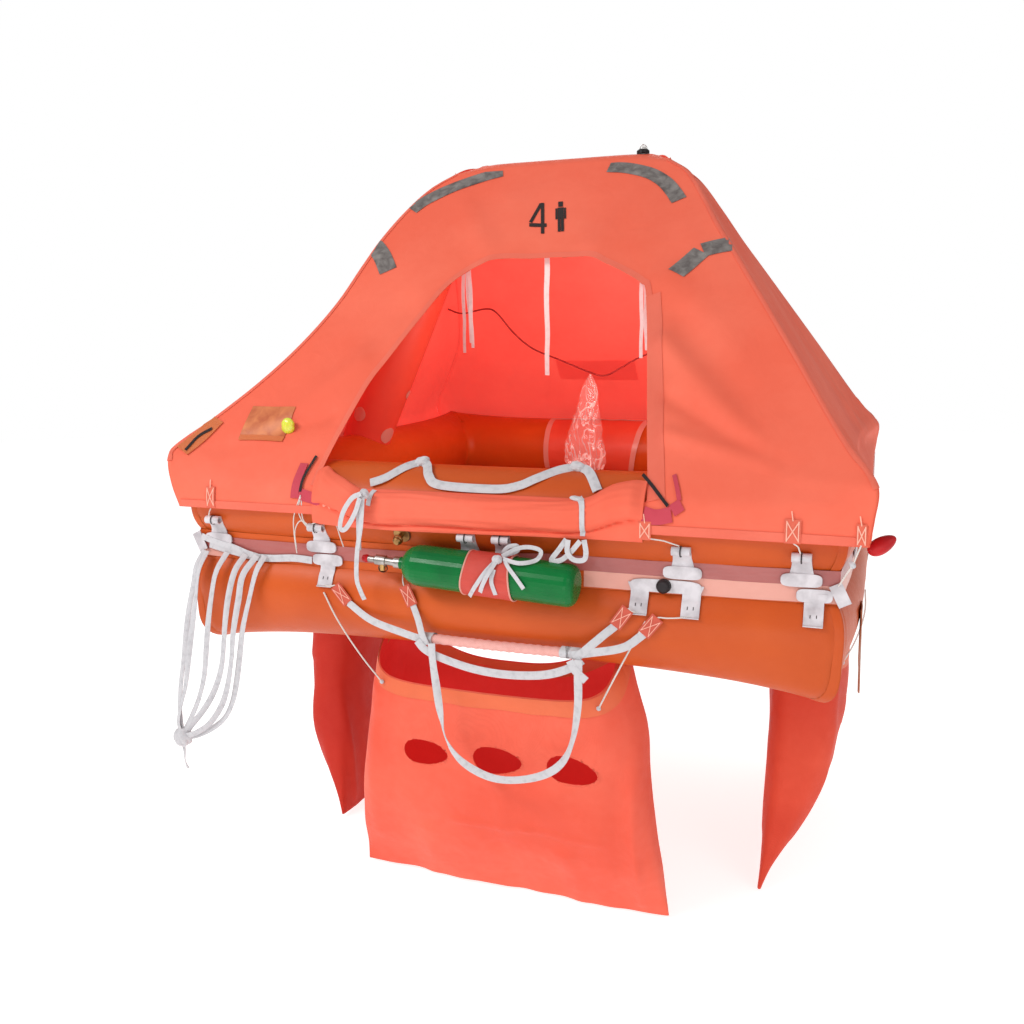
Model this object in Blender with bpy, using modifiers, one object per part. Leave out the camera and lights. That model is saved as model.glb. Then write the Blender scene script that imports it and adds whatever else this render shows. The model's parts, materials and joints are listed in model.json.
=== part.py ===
"""Four-person inflatable life raft with its canopy up and its water bags hanging.

Real size in metres, +Z up. The entrance is on the -Y side, and the origin is in the
middle of the raft at its waterline, half-way up the lower tube.
Every piece hangs on an empty at the seam between the two tubes, so heights in this
file are measured from that seam.
"""

from math import acos, cos, exp, hypot, pi, radians, sin, sqrt

import bmesh
import bpy
from mathutils import Vector

# Tubes.
HALF_WIDTH = 0.930
TUBE_R = 0.1216
GAP = 0.0004
LINE = HALF_WIDTH - TUBE_R
AROUND = 24
SEAM_HEIGHT = TUBE_R * cos(pi / AROUND) + GAP / 2
MITRE_FLAT = 0.35
LOWER_EAR = 0.40
UPPER_EAR = 0.26
EAR_LENGTH = 0.20

# Cloth.
CLOTH = 0.003
CLEAR = 0.0016
SEAT = 0.0005

# Arch that carries the canopy, leaning a little to the left.
ARCH_R = 0.085
ARCH_TOP = 1.047
ARCH_LEAN = -0.050
ARCH_FLAT = 0.250
ARCH_SHOULDER = 0.480
ARCH_CLEAR = 0.0050

# Band over the seam, and what stands on it.
BAND_HALF = 0.038
BAND_THICK = 0.003
FITTING_THICK = 0.005

# Water bags.
BAG_REACH = 0.672
BAG_DEPTH = 0.215
BAG_TOP_HALF = 0.335
BAG_LOW_HALF = 0.466
BAG_BOTTOM = -1.000
BAG_RIM = -0.335
BAG_LIFT = 0.1640

# Gas cylinder.
BOTTLE_R = 0.053
BOTTLE_FROM = (-0.192, 0.004)
BOTTLE_TO = (0.279, -0.021)

# Boarding ladder.
RUNG_R = 0.0125
RUNG_Y = -0.935
RUNG_Z = -0.195
RUNG_ENDS = (-0.141, 0.283)
WEB_THICK = 0.0020


for old in list(bpy.data.objects):
    bpy.data.objects.remove(old, do_unlink=True)

raft = bpy.data.collections.new("life_raft")
cutters = bpy.data.collections.new("cutters")
bpy.context.scene.collection.children.link(raft)
bpy.context.scene.collection.children.link(cutters)
cutters.hide_render = True

seam = bpy.data.objects.new("seam_centre", None)
seam.location = (0.0, 0.0, SEAM_HEIGHT)
raft.objects.link(seam)


def material(name, rgb, roughness, metallic=0.0):
    made = bpy.data.materials.new(name)
    made.use_nodes = True
    shader = made.node_tree.nodes["Principled BSDF"]
    shader.inputs["Base Color"].default_value = (*rgb, 1.0)
    shader.inputs["Roughness"].default_value = roughness
    shader.inputs["Metallic"].default_value = metallic
    return made


ORANGE_TUBE = material("orange_rubber_cloth", (0.66, 0.15, 0.03), 0.45)
CANOPY_CLOTH = material("canopy_cloth", (0.88, 0.16, 0.09), 0.75)
BAG_CLOTH = material("bag_cloth", (0.85, 0.13, 0.07), 0.80)
PINK_WEB = material("pink_webbing", (0.78, 0.40, 0.33), 0.80)
WHITE_WEB = material("white_webbing", (0.72, 0.70, 0.68), 0.85)
WHITE_CLOTH = material("white_patch_cloth", (0.72, 0.70, 0.69), 0.60)
GREEN_PAINT = material("green_paint", (0.0, 0.19, 0.05), 0.30)
BRASS = material("brass", (0.60, 0.42, 0.20), 0.35, 1.0)
STEEL = material("brushed_steel", (0.60, 0.60, 0.58), 0.35, 1.0)
RED_PLASTIC = material("red_plastic", (0.55, 0.03, 0.02), 0.40)
BLACK_PLASTIC = material("black_plastic", (0.02, 0.02, 0.02), 0.40)
CLEAR_PLASTIC = material("clear_plastic", (0.85, 0.80, 0.78), 0.10)
BROWN_CLOTH = material("brown_cloth", (0.38, 0.14, 0.04), 0.60)


def keep(name, obj, skin, where=raft):
    """Names an object, hangs it on the seam's empty and gives it its material."""
    obj.name = name
    obj.data.name = name
    for collection in list(obj.users_collection):
        collection.objects.unlink(obj)
    where.objects.link(obj)
    obj.parent = seam
    if skin is not None:
        obj.data.materials.clear()
        obj.data.materials.append(skin)
    return obj


def mesh_object(name, bm, skin, where=raft, smooth=True):
    mesh = bpy.data.meshes.new(name)
    bm.to_mesh(mesh)
    bm.free()
    obj = bpy.data.objects.new(name, mesh)
    keep(name, obj, skin, where)
    if smooth:
        mesh.shade_smooth()
        mesh.set_sharp_from_angle(angle=radians(40))
    return obj


def solidify(obj, thickness, offset):
    shell = obj.modifiers.new("Solidify", "SOLIDIFY")
    shell.thickness = thickness
    shell.offset = offset
    shell.use_even_offset = True
    return obj


def cut(obj, cutter):
    hole = obj.modifiers.new("Cut", "BOOLEAN")
    hole.operation = "DIFFERENCE"
    hole.object = cutter


def cutter_object(name, bm):
    bmesh.ops.recalc_face_normals(bm, faces=bm.faces)
    obj = mesh_object(name, bm, None, cutters, smooth=False)
    obj.hide_render = True
    obj.display_type = "WIRE"
    return obj


def loft(name, rings, skin, round_again=False, ends=True, open_edge=False):
    """Skins a row of rings. round_again joins the last ring to the first."""
    bm = bmesh.new()
    made = [[bm.verts.new(point) for point in ring] for ring in rings]
    count = len(made[0])
    pairs = list(zip(made, made[1:]))
    if round_again:
        pairs.append((made[-1], made[0]))
    for one, two in pairs:
        for i in range(count if not open_edge else count - 1):
            j = (i + 1) % count
            bm.faces.new((one[i], one[j], two[j], two[i]))
    if ends and not round_again:
        bm.faces.new(made[-1])
        if ends != "last":
            bm.faces.new(made[0])
    bmesh.ops.recalc_face_normals(bm, faces=bm.faces)
    return mesh_object(name, bm, skin)


def sheet(name, rows, skin, thickness, outward, holes=None):
    """An open cloth surface with thickness on the side that outward(point) faces.

    holes(i, j) is true for a cell of the grid that is left out.
    """
    bm = bmesh.new()
    made = [[bm.verts.new(point) for point in row] for row in rows]
    for i in range(len(made) - 1):
        for j in range(len(made[0]) - 1):
            if holes is not None and holes(i, j):
                continue
            corners = (made[i][j], made[i][j + 1], made[i + 1][j + 1], made[i + 1][j])
            bm.faces.new(corners)
    loose = [vert for vert in bm.verts if not vert.link_faces]
    bmesh.ops.delete(bm, geom=loose, context="VERTS")
    bm.faces.ensure_lookup_table()
    bm.normal_update()
    face = bm.faces[len(bm.faces) // 2]
    if face.normal.dot(outward(face.calc_center_median())) < 0:
        bmesh.ops.reverse_faces(bm, faces=bm.faces)
    return solidify(mesh_object(name, bm, skin), thickness, 1.0)


def smooth_route(points, steps):
    """Points along a smooth curve through the given ones."""
    points = [Vector(p) for p in points]
    ends = [2 * points[0] - points[1]] + points + [2 * points[-1] - points[-2]]
    route = []
    for a, b, c, d in zip(ends, ends[1:], ends[2:], ends[3:]):
        for k in range(steps):
            t = k / steps
            route.append(
                0.5 * ((2 * b) + (c - a) * t + (2 * a - 5 * b + 4 * c - d) * t * t
                       + (3 * b - a - 3 * c + d) * t ** 3)
            )
    route.append(points[-1])
    return route


def ribbon(name, points, width, skin, facing=(0, -1, 0), steps=5, thickness=WEB_THICK):
    """A webbing strip along a route, its flat side towards facing."""
    route = smooth_route(points, steps)
    facing = Vector(facing)
    rows = [[], []]
    for i, point in enumerate(route):
        along = route[min(i + 1, len(route) - 1)] - route[max(i - 1, 0)]
        side = along.cross(facing).normalized() * width / 2
        rows[0].append(point - side)
        rows[1].append(point + side)
    return sheet(name, rows, skin, thickness, lambda p: facing)


def cord(name, points, radius, skin, steps=5):
    """A round cord along a smooth route."""
    curve = bpy.data.curves.new(name, "CURVE")
    curve.dimensions = "3D"
    curve.bevel_depth = radius
    curve.bevel_resolution = 2
    curve.use_fill_caps = True
    route = smooth_route(points, steps)
    spline = curve.splines.new("POLY")
    spline.points.add(len(route) - 1)
    for target, point in zip(spline.points, route):
        target.co = (*point, 1.0)
    return keep(name, bpy.data.objects.new(name, curve), skin)


def turned(name, profile, base, direction, skin, steps=24):
    """A turned piece: profile rows are (radius, distance along the axis), far end first."""
    mesh = bpy.data.meshes.new(name)
    points = [(r, 0.0, h) for r, h in profile]
    mesh.from_pydata(points, [(i, i + 1) for i in range(len(points) - 1)], [])
    obj = keep(name, bpy.data.objects.new(name, mesh), skin)
    turn = obj.modifiers.new("Screw", "SCREW")
    turn.steps = steps
    turn.render_steps = steps
    turn.use_merge_vertices = True
    turn.merge_threshold = 0.00001
    obj.location = base
    obj.rotation_mode = "QUATERNION"
    obj.rotation_quaternion = Vector(direction).to_track_quat("Z", "Y")
    return obj


# Tubes

OUT = ((0, -1), (1, 0), (0, 1), (-1, 0))
ALONG = ((1, 0), (0, 1), (-1, 0), (0, -1))
STATIONS = (-1.0, -0.96, -0.90, -0.82, -0.68, -0.40, 0.0, 0.40, 0.68, 0.82, 0.90, 0.96)
TUBE_Z = SEAM_HEIGHT


def corner_share(p):
    """How much of the mitre's distortion is left at a place along a side, from 0 to 1."""
    return exp(-(1 - abs(p)) * LINE / EAR_LENGTH)


def section_radius(turn, share, ear_turn, ear):
    flat = MITRE_FLAT * share * max(0.0, cos(turn)) ** 1.5
    bump = ear * share * exp(-(((turn - ear_turn) / 0.45) ** 2))
    return TUBE_R * (1 - flat + bump)


def at_side(side, p, u, z):
    """A point of side 0 front, 1 right, 2 back or 3 left, u outside the tube's line."""
    reach = LINE + u
    x = OUT[side][0] * reach + ALONG[side][0] * p * reach
    y = OUT[side][1] * reach + ALONG[side][1] * p * reach
    return (x, y, z)


def tube_outline(p, upper):
    """Outline of a tube at a station, as distances outside its line and heights."""
    tip, ear = (75, UPPER_EAR) if upper else (-75, LOWER_EAR)
    share = corner_share(p)
    outline = []
    for k in range(AROUND):
        turn = -pi + 2 * pi * (k + 0.5) / AROUND
        r = section_radius(turn, share, radians(tip), ear)
        outline.append((r * cos(turn), (TUBE_Z if upper else -TUBE_Z) + r * sin(turn)))
    return outline


def tube_rings(upper):
    rings = []
    for side in range(4):
        for p in STATIONS:
            rings.append([at_side(side, p, u, z) for u, z in tube_outline(p, upper)])
    return rings


def skin_at(p, z, upper, outer=True):
    """Where a tube's outer or inner skin stands outside its line, at a station and a height."""
    outline = tube_outline(p, upper)
    found = []
    for (u0, z0), (u1, z1) in zip(outline, outline[1:] + outline[:1]):
        if z0 != z1 and min(z0, z1) <= z <= max(z0, z1):
            found.append(u0 + (u1 - u0) * (z - z0) / (z1 - z0))
    return max(found) if outer else min(found)


def band_seat(p):
    """Where the back of the band stands outside the tubes' line, at a station."""
    return max(skin_at(p, -BAND_HALF, False), skin_at(p, BAND_HALF, True)) + 2 * SEAT


def between_stations(place, read):
    """Reads a value of the stations at a place along a side, in metres from its middle."""
    value = 0.0
    for _ in range(4):
        p = min(1.0, abs(place) / (LINE + value))
        for low, high in zip(STATIONS[6:], STATIONS[7:] + (1.0,)):
            if p <= high:
                value = read(low) + (read(high) - read(low)) * (p - low) / (high - low)
                break
    return value


def tube_face(place, z, upper):
    """How far outside its line a tube's skin stands, at a place along a side and a height."""
    return between_stations(place, lambda p: skin_at(p, z, upper))


def band_face(place):
    """How far outside the tubes' line the band's front stands."""
    return between_stations(place, band_seat) + BAND_THICK


loft("lower_tube", tube_rings(False), ORANGE_TUBE, round_again=True)
loft("upper_tube", tube_rings(True), ORANGE_TUBE, round_again=True)


def band_mesh():
    """The band as an open strip round the raft."""
    bm = bmesh.new()
    rows = []
    for z in (-BAND_HALF, 0.0, BAND_HALF):
        points = [at_side(side, p, band_seat(p), z) for side in range(4) for p in STATIONS]
        rows.append([bm.verts.new(point) for point in points])
    count = len(rows[0])
    for low, high in zip(rows, rows[1:]):
        for i in range(count):
            j = (i + 1) % count
            bm.faces.new((low[i], low[j], high[j], high[i]))
    return bm


solidify(mesh_object("seam_band", band_mesh(), PINK_WEB), BAND_THICK, 1.0)

# Floor: a sheet let in between the lower tube's sides, sagging in the middle.
FLOOR_Z = -0.203
FLOOR_HALF = LINE + skin_at(0.0, FLOOR_Z, False, outer=False) - 2 * SEAT
floor_rows = []
for i in range(9):
    y = FLOOR_HALF * (2 * i / 8 - 1)
    floor_rows.append([])
    for j in range(9):
        x = FLOOR_HALF * (2 * j / 8 - 1)
        sag = 0.030 * (1 - (x / FLOOR_HALF) ** 2) * (1 - (y / FLOOR_HALF) ** 2)
        floor_rows[-1].append((x, y, FLOOR_Z - sag))
sheet("floor_sheet", floor_rows, ORANGE_TUBE, 0.004, lambda p: Vector((0, 0, -1)))


# Arch and canopy

def arch_route():
    """The arch's centre line in x and z, from the left foot to the right foot."""
    for side in (-1, 1):
        foot = Vector((side * LINE, 0.210))
        knee = Vector((ARCH_LEAN + side * ARCH_SHOULDER, 0.820))
        flat = Vector((ARCH_LEAN + side * ARCH_FLAT, ARCH_TOP))
        rise = (knee - foot).normalized()
        corner = knee + rise * (ARCH_TOP - knee.y) / rise.y
        leg = [foot, foot.lerp(knee, 0.5), knee]
        for k in range(1, 7):
            t = k / 6
            leg.append((1 - t) ** 2 * knee + 2 * t * (1 - t) * corner + t * t * flat)
        if side < 0:
            left = leg
        else:
            right = leg[::-1]
    return left + right


ARCH_ROUTE = arch_route()


def arch_normal(i):
    """Unit vector in x and z that points out of the arch at one point of its line."""
    along = ARCH_ROUTE[min(i + 1, len(ARCH_ROUTE) - 1)] - ARCH_ROUTE[max(i - 1, 0)]
    along.normalize()
    return Vector((-along.y, along.x))


arch_rings = []
for i, point in enumerate(ARCH_ROUTE):
    out = arch_normal(i)
    ring = []
    for k in range(16):
        turn = 2 * pi * (k + 0.5) / 16
        spread = point + out * ARCH_R * cos(turn)
        ring.append((spread.x, ARCH_R * sin(turn), spread.y))
    arch_rings.append(ring)
arch = loft("arch_tube", arch_rings, ORANGE_TUBE)
for side, name in ((-1, "left"), (1, "right")):
    bm = bmesh.new()
    bmesh.ops.create_cone(
        bm, cap_ends=True, segments=96, radius1=TUBE_R + 0.0013, radius2=TUBE_R + 0.0013, depth=0.6
    )
    for vert in bm.verts:
        x, y, z = vert.co
        vert.co = (x + side * LINE, z, -y + TUBE_Z)
    cut(arch, cutter_object("saddle_" + name, bm))

# Rails of the canopy. Each row is height, x and y of the front corner, left and right.
LEFT_RAIL = (
    (0.112, -0.895, -0.925),
    (0.175, -0.908, -0.937),
    (0.238, -0.926, -0.925),
    (0.272, -0.930, -0.895),
    (0.344, -0.867, -0.800),
    (0.450, -0.770, -0.690),
    (0.557, -0.690, -0.590),
    (0.677, -0.634, -0.470),
    (0.800, -0.597, -0.360),
    (0.885, -0.572, -0.280),
    (0.984, -0.525, -0.185),
    (1.060, -0.468, -0.112),
    (1.105, -0.402, -0.0690),
)
RIGHT_RAIL = (
    (0.112, 0.930, -0.930),
    (0.175, 0.938, -0.938),
    (0.238, 0.943, -0.922),
    (0.272, 0.922, -0.880),
    (0.333, 0.867, -0.805),
    (0.548, 0.721, -0.598),
    (0.789, 0.554, -0.370),
    (0.885, 0.487, -0.283),
    (0.977, 0.428, -0.190),
    (1.060, 0.368, -0.112),
    (1.105, 0.302, -0.0690),
)
CREST = ARCH_TOP + ARCH_R + ARCH_CLEAR
LEVELS = (
    0.112, 0.143, 0.175, 0.205, 0.238, 0.272, 0.310, 0.370, 0.450, 0.557,
    0.677, 0.800, 0.885, 0.977, 1.060, 1.105,
)


def read_rail(rail, z):
    for (z0, x0, y0), (z1, x1, y1) in zip(rail, rail[1:]):
        if z <= z1:
            t = max(0.0, (z - z0) / (z1 - z0))
            return x0 + (x1 - x0) * t, y0 + (y1 - y0) * t
    return rail[-1][1:]


def arch_side(side, z):
    """How far out the canopy stands over the arch's leg at a height."""
    best = 0.0
    for i, point in enumerate(ARCH_ROUTE):
        if (point.x - ARCH_LEAN) * side <= 0:
            continue
        skin = point + arch_normal(i) * (ARCH_R + ARCH_CLEAR)
        if i + 1 < len(ARCH_ROUTE):
            nxt = ARCH_ROUTE[i + 1] + arch_normal(i + 1) * (ARCH_R + ARCH_CLEAR)
            low, high = sorted((skin, nxt), key=lambda v: v.y)
            if low.y <= z <= high.y and high.y > low.y:
                t = (z - low.y) / (high.y - low.y)
                found = low.x + (high.x - low.x) * t
                if abs(found) > abs(best):
                    best = found
    return best


def tube_side(z):
    """Outer face of the upper tube half-way along a side, with room for the cloth."""
    rise = z - TUBE_Z
    r = TUBE_R + CLEAR
    return LINE + (sqrt(r * r - rise * rise) if abs(rise) < r else 0.0)


def front_depth(z):
    """y of the canopy's front in the middle: round the tube, then straight to the arch."""
    r = TUBE_R + CLEAR
    top = Vector((-0.060, 1.115))
    middle = Vector((-LINE, TUBE_Z))
    span = (top - middle).length
    lean = acos((top - middle).x / span) + acos(r / span)
    touch = middle + Vector((cos(lean), sin(lean))) * r
    if z <= touch.y:
        return -tube_side(z)
    if z <= top.y:
        return touch.x + (top.x - touch.x) * (z - touch.y) / (top.y - touch.y)
    return top.x * (CREST - z) / (CREST - top.y)


def side_width(side, z):
    """x of the canopy's side in the middle, over the tube and then over the arch."""
    low, high = TUBE_Z + 0.060, 0.290
    if z <= low:
        return side * tube_side(z)
    if z >= high:
        return arch_side(side, z)
    share = (z - low) / (high - low)
    blend = tube_side(low) * (1 - share) + abs(arch_side(side, high)) * share
    return side * max(blend, abs(arch_side(side, z)))


def off_tube(point):
    """Moves a point of the cloth out of the upper tube."""
    x, y, z = point
    side = 0 if abs(y) >= abs(x) else 1
    out, along = (abs(y), x) if side == 0 else (abs(x), y)
    u = out - LINE
    share = corner_share(min(1.0, abs(along) / max(out, 0.01)))
    rise = z - TUBE_Z
    r = hypot(u, rise)
    if r < 1e-6 or out < LINE - TUBE_R:
        return point
    turn = acos(max(-1.0, min(1.0, u / r))) * (1 if rise >= 0 else -1)
    least = section_radius(turn, share, radians(75), UPPER_EAR) + CLEAR
    if r >= least:
        return point
    new_out = LINE + u * least / r
    new_z = TUBE_Z + rise * least / r
    if side == 0:
        return (x, new_out * (1 if y > 0 else -1), new_z)
    return (new_out * (1 if x > 0 else -1), y, new_z)


# The last two rows of the front and back lie along the arch's crest. Each is how far its
# ends pass the level stretch, its distance from the crest's line, and its drop.
CREST_ROWS = ((0.055, 0.040, 0.0075), (0.0, 0.0006, 0.0))
PANEL_INSET = 0.0006


def crest_end(side, row):
    """x of one end of a row along the crest."""
    return ARCH_LEAN + side * (ARCH_FLAT + CREST_ROWS[row][0])


def front_y(x, z):
    """y of the canopy's front at a place and a height."""
    left, left_y = read_rail(LEFT_RAIL, z)
    right, right_y = read_rail(RIGHT_RAIL, z)
    q = (x - left) / (right - left)
    power = 8 if z < 0.30 else 4
    edge = left_y if q < 0.5 else right_y
    return front_depth(z) + (edge - front_depth(z)) * abs(2 * q - 1) ** power


def front_rows(back, columns):
    turn = -1 if back else 1
    rows = []
    for z in LEVELS:
        left, right = read_rail(LEFT_RAIL, z)[0], read_rail(RIGHT_RAIL, z)[0]
        row = []
        for j in range(columns + 1):
            x = left + (right - left) * j / columns
            row.append(off_tube((x, turn * front_y(x, z), z)))
        rows.append(row)
    for k, (_, away, drop) in enumerate(CREST_ROWS):
        left, right = crest_end(-1, k), crest_end(1, k)
        row = []
        for j in range(columns + 1):
            q = j / columns
            narrow = 1 - 0.96 * abs(2 * q - 1) ** 8 if k == 0 else 1
            row.append((left + (right - left) * q, -turn * away * narrow, CREST - drop))
        rows.append(row)
    for row in rows:
        row[0] = (row[0][0] + PANEL_INSET, row[0][1], row[0][2])
        row[-1] = (row[-1][0] - PANEL_INSET, row[-1][1], row[-1][2])
    return rows


def side_rows(side, columns):
    rail = LEFT_RAIL if side < 0 else RIGHT_RAIL
    rows = []
    for z in LEVELS:
        corner_x, corner_y = read_rail(rail, z)
        middle_x = side_width(side, z)
        power = 8 if z < 0.20 else (2 if z < 0.32 else 1)
        row = []
        for j in range(columns + 1):
            q = 2 * j / columns - 1
            x = middle_x + (corner_x - middle_x) * abs(q) ** power
            row.append(off_tube((x, -corner_y * q, z)))
        rows.append(row)
    for row in rows:
        row[0] = (row[0][0], row[0][1] + PANEL_INSET, row[0][2])
        row[-1] = (row[-1][0], row[-1][1] - PANEL_INSET, row[-1][2])
    tip, z = crest_end(side, 0), CREST - CREST_ROWS[0][2]
    rows.append([(tip, 0.0012 * (2 * j / columns - 1), z) for j in range(columns + 1)])
    return rows


def away_from_middle(point):
    return Vector((point.x, point.y, 0.2))


canopy_front = sheet("canopy_front", front_rows(False, 16), CANOPY_CLOTH, CLOTH, away_from_middle)
sheet("canopy_back", front_rows(True, 12), CANOPY_CLOTH, CLOTH, away_from_middle)
sheet("canopy_left", side_rows(-1, 12), CANOPY_CLOTH, CLOTH, away_from_middle)
sheet("canopy_right", side_rows(1, 12), CANOPY_CLOTH, CLOTH, away_from_middle)

# Entrance: a trapezoid with a rounded top. Each row is x and height.
ENTRANCE = (
    (-0.462, 0.185), (-0.454, 0.263), (-0.437, 0.354), (-0.416, 0.450), (-0.385, 0.521),
    (-0.342, 0.615), (-0.300, 0.703), (-0.262, 0.748), (-0.205, 0.785), (-0.130, 0.806),
    (0.110, 0.801), (0.185, 0.778), (0.262, 0.742), (0.305, 0.716), (0.325, 0.690),
    (0.372, 0.527), (0.405, 0.367), (0.438, 0.185),
)
bm = bmesh.new()
outline = [bm.verts.new((x, -1.2, z)) for x, z in ENTRANCE]
face = bm.faces.new(outline)
pushed = bmesh.ops.extrude_face_region(bm, geom=[face])
for item in pushed["geom"]:
    if isinstance(item, bmesh.types.BMVert):
        item.co.y = -0.150
cut(canopy_front, cutter_object("entrance_cutter", bm))


# Door, strap and tapes

def on_upper(turn, lift, x=0.0):
    """y and z on the front of the upper tube, at an angle above level."""
    r = section_radius(turn, corner_share(x / HALF_WIDTH), radians(75), UPPER_EAR) + lift
    return -(LINE + r * cos(turn)), TUBE_Z + r * sin(turn)


# Door, rolled down over the front tube. Each row is x and the angle of its upper edge.
DOOR_EDGE = (
    (-0.448, 62), (-0.425, 58), (-0.380, 42), (-0.317, 30), (-0.210, 31), (-0.100, 32),
    (0.020, 30), (0.130, 26), (0.220, 22), (0.290, 21), (0.345, 38), (0.395, 56), (0.424, 62),
)
DOOR_LOW = -14
DOOR_LIFT = CLEAR + CLOTH + 0.0039
door_rings = []
for x, upper in DOOR_EDGE:
    ring = []
    for k in range(7):
        turn = radians(DOOR_LOW + (upper - DOOR_LOW) * k / 6)
        y, z = on_upper(turn, DOOR_LIFT + (0.002 if upper > 50 else 0.0))
        ring.append((x, y, z))
    for k in range(6, -1, -1):
        turn = radians(DOOR_LOW + (upper - DOOR_LOW) * k / 6)
        bulge = 0.012 + 0.016 * sin(pi * min(1.0, k / 6)) + 0.006 * (k == 5)
        y, z = on_upper(turn, DOOR_LIFT + bulge)
        ring.append((x, y, z))
    door_rings.append(ring)
loft("door_roll", door_rings, CANOPY_CLOTH)

# White strap over the front tube. Each row is x and the angle on the tube.
STRAP = (
    (-0.300, 39), (-0.262, 47), (-0.220, 68), (-0.190, 82), (-0.165, 74), (-0.140, 52),
    (-0.100, 40), (0.050, 38), (0.110, 44), (0.150, 56), (0.200, 76), (0.240, 84),
    (0.275, 72), (0.312, 42),
)


STRAP_HALF = 0.012
STRAP_LIFT = 0.0020


def strap_rows():
    """The strap's two edges, each lying on the tube's curve."""
    rows = [[], []]
    route = smooth_route([(x, turn, 0.0) for x, turn in STRAP], 3)
    for i, point in enumerate(route):
        along = route[min(i + 1, len(route) - 1)] - route[max(i - 1, 0)]
        reach = Vector((along.x, radians(along.y) * TUBE_R, 0.0)).normalized()
        for row, side in zip(rows, (-1, 1)):
            x = point.x - reach.y * STRAP_HALF * side
            turn = radians(point.y) + reach.x * STRAP_HALF * side / TUBE_R
            row.append((x, *on_upper(turn, STRAP_LIFT, x)))
    return rows


sheet("grab_strap", strap_rows(), WHITE_WEB, WEB_THICK, lambda p: Vector((0, -1, 0.5)))

# Tapes that hang inside the entrance, and the pouch on the back tube.
for name, x, top, bottom in (
    ("inner_tape_left", -0.265, 0.815, 0.520),
    ("inner_tape_middle", -0.008, 0.830, 0.460),
    ("inner_tape_right", 0.284, 0.800, 0.513),
):
    y = front_y(x, top) + WEB_THICK + 0.0007
    ribbon(name, [(x, y, top), (x + 0.004, y + 0.004, (top + bottom) / 2), (x, y, bottom)],
           0.018, WHITE_WEB, steps=3)

# Red cord slung from side wall to side wall, and the clear bag that hangs on it.
SLING_Y = 0.350
SLING_R = 0.003
HANG = Vector((-0.060, SLING_Y, 0.452))


def wall_x(side, y, z):
    """x of a side wall's inner face at a place and a height."""
    corner_x, corner_y = read_rail(LEFT_RAIL if side < 0 else RIGHT_RAIL, z)
    middle_x = side_width(side, z)
    return middle_x + (corner_x - middle_x) * abs(y / corner_y)


SLING = [(wall_x(-1, SLING_Y, 0.690) + 0.0013, 0.690), (-0.566, 0.673), (-0.471, 0.688),
         (-0.426, 0.672), (-0.358, 0.597), (-0.282, 0.539), (-0.175, 0.497), (HANG.x, HANG.z),
         (-0.004, 0.441), (0.054, 0.469), (0.123, 0.506), (0.260, 0.560), (0.400, 0.610),
         (wall_x(1, SLING_Y, 0.640) - 0.0026, 0.640)]
cord("inner_cord", [(x, SLING_Y, z) for x, z in SLING], SLING_R, RED_PLASTIC)

# Each ring of the clear bag: height, x of its middle, half width, half depth.
CLEAR_BAG = (
    (HANG.z - SLING_R - 0.0021, -0.060, 0.004, 0.004), (0.400, -0.062, 0.030, 0.012),
    (0.330, -0.068, 0.042, 0.022), (0.240, -0.078, 0.066, 0.030), (0.150, -0.080, 0.084, 0.030),
    (0.095, -0.080, 0.070, 0.016),
)
bag_outline = []
for z, middle, half, deep in CLEAR_BAG:
    turns = [2 * pi * k / 16 for k in range(16)]
    bag_outline.append([(middle + half * cos(t), SLING_Y + deep * sin(t), z) for t in turns])
loft("clear_bag", bag_outline, CLEAR_PLASTIC)

# Pouch on the back tube: its reach in x, and its reach in degrees round the tube.
POUCH = ((-0.350, 0.070), (95, 215))


def pouch_rows():
    rows = []
    for k in range(13):
        turn = radians(POUCH[1][0] + (POUCH[1][1] - POUCH[1][0]) * k / 12)
        row = []
        for j in range(7):
            x = POUCH[0][0] + (POUCH[0][1] - POUCH[0][0]) * j / 6 * (1 - 0.12 * k / 12)
            share = corner_share(x / LINE)
            r = section_radius(turn, share, radians(75), UPPER_EAR) + 0.0010
            row.append((x, LINE + r * cos(turn), TUBE_Z + r * sin(turn)))
        rows.append(row)
    return rows


sheet("stowage_pouch", pouch_rows(), BAG_CLOTH, 0.0030, lambda p: Vector((0, -1, 0.3)))

# Fittings on the band

def patch_face(place, z):
    """How far out a patch lies: flat on the band, then down or up the tube's skin."""
    if abs(z) < BAND_HALF:
        return band_face(place) + SEAT + 0.0002
    return max(band_face(place), tube_face(place, z, z > 0) + 2 * SEAT) + SEAT


FITTING_HEIGHTS = (0.001, 0.034, 0.047, 0.060, 0.0742, 0.084)
STEM_HALF = 0.022


def fitting(name, side, place, up, wide=0.050, stems=(0.0,)):
    """A T-shaped patch: its bar lies on the band and its stem runs up or down the tube."""
    xs = [-wide]
    for stem in stems:
        xs += [stem - STEM_HALF, stem + STEM_HALF]
    xs.append(wide)
    rows = []
    for h in FITTING_HEIGHTS:
        z = h if up else -h
        row = []
        for x in xs:
            u = patch_face(place + x, z)
            row.append(at_side(side, (place + x) / (LINE + u), u, z))
        rows.append(row)

    def left_out(i, j):
        return i >= 1 and j % 2 == 0

    out = OUT[side]
    return sheet(name, rows, WHITE_CLOTH, FITTING_THICK, lambda p: Vector((*out, 0)), left_out)


for n, place in enumerate((-0.800, -0.458, 0.520, 0.790)):
    fitting("fitting_upper_%d" % (n + 1), 0, place, True)
for n, (place, wide) in enumerate(((-0.440, 0.050), (0.820, 0.042))):
    fitting("fitting_lower_%d" % (n + 1), 0, place, False, wide)
fitting("fitting_double", 0, 0.481, False, 0.085, (-0.062, 0.062))
for side, label in ((1, "right"), (3, "left")):
    for n, place in enumerate((-0.500, 0.500)):
        fitting("fitting_%s_%d" % (label, n + 1), side, place, True)

# Gas cylinder

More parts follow.
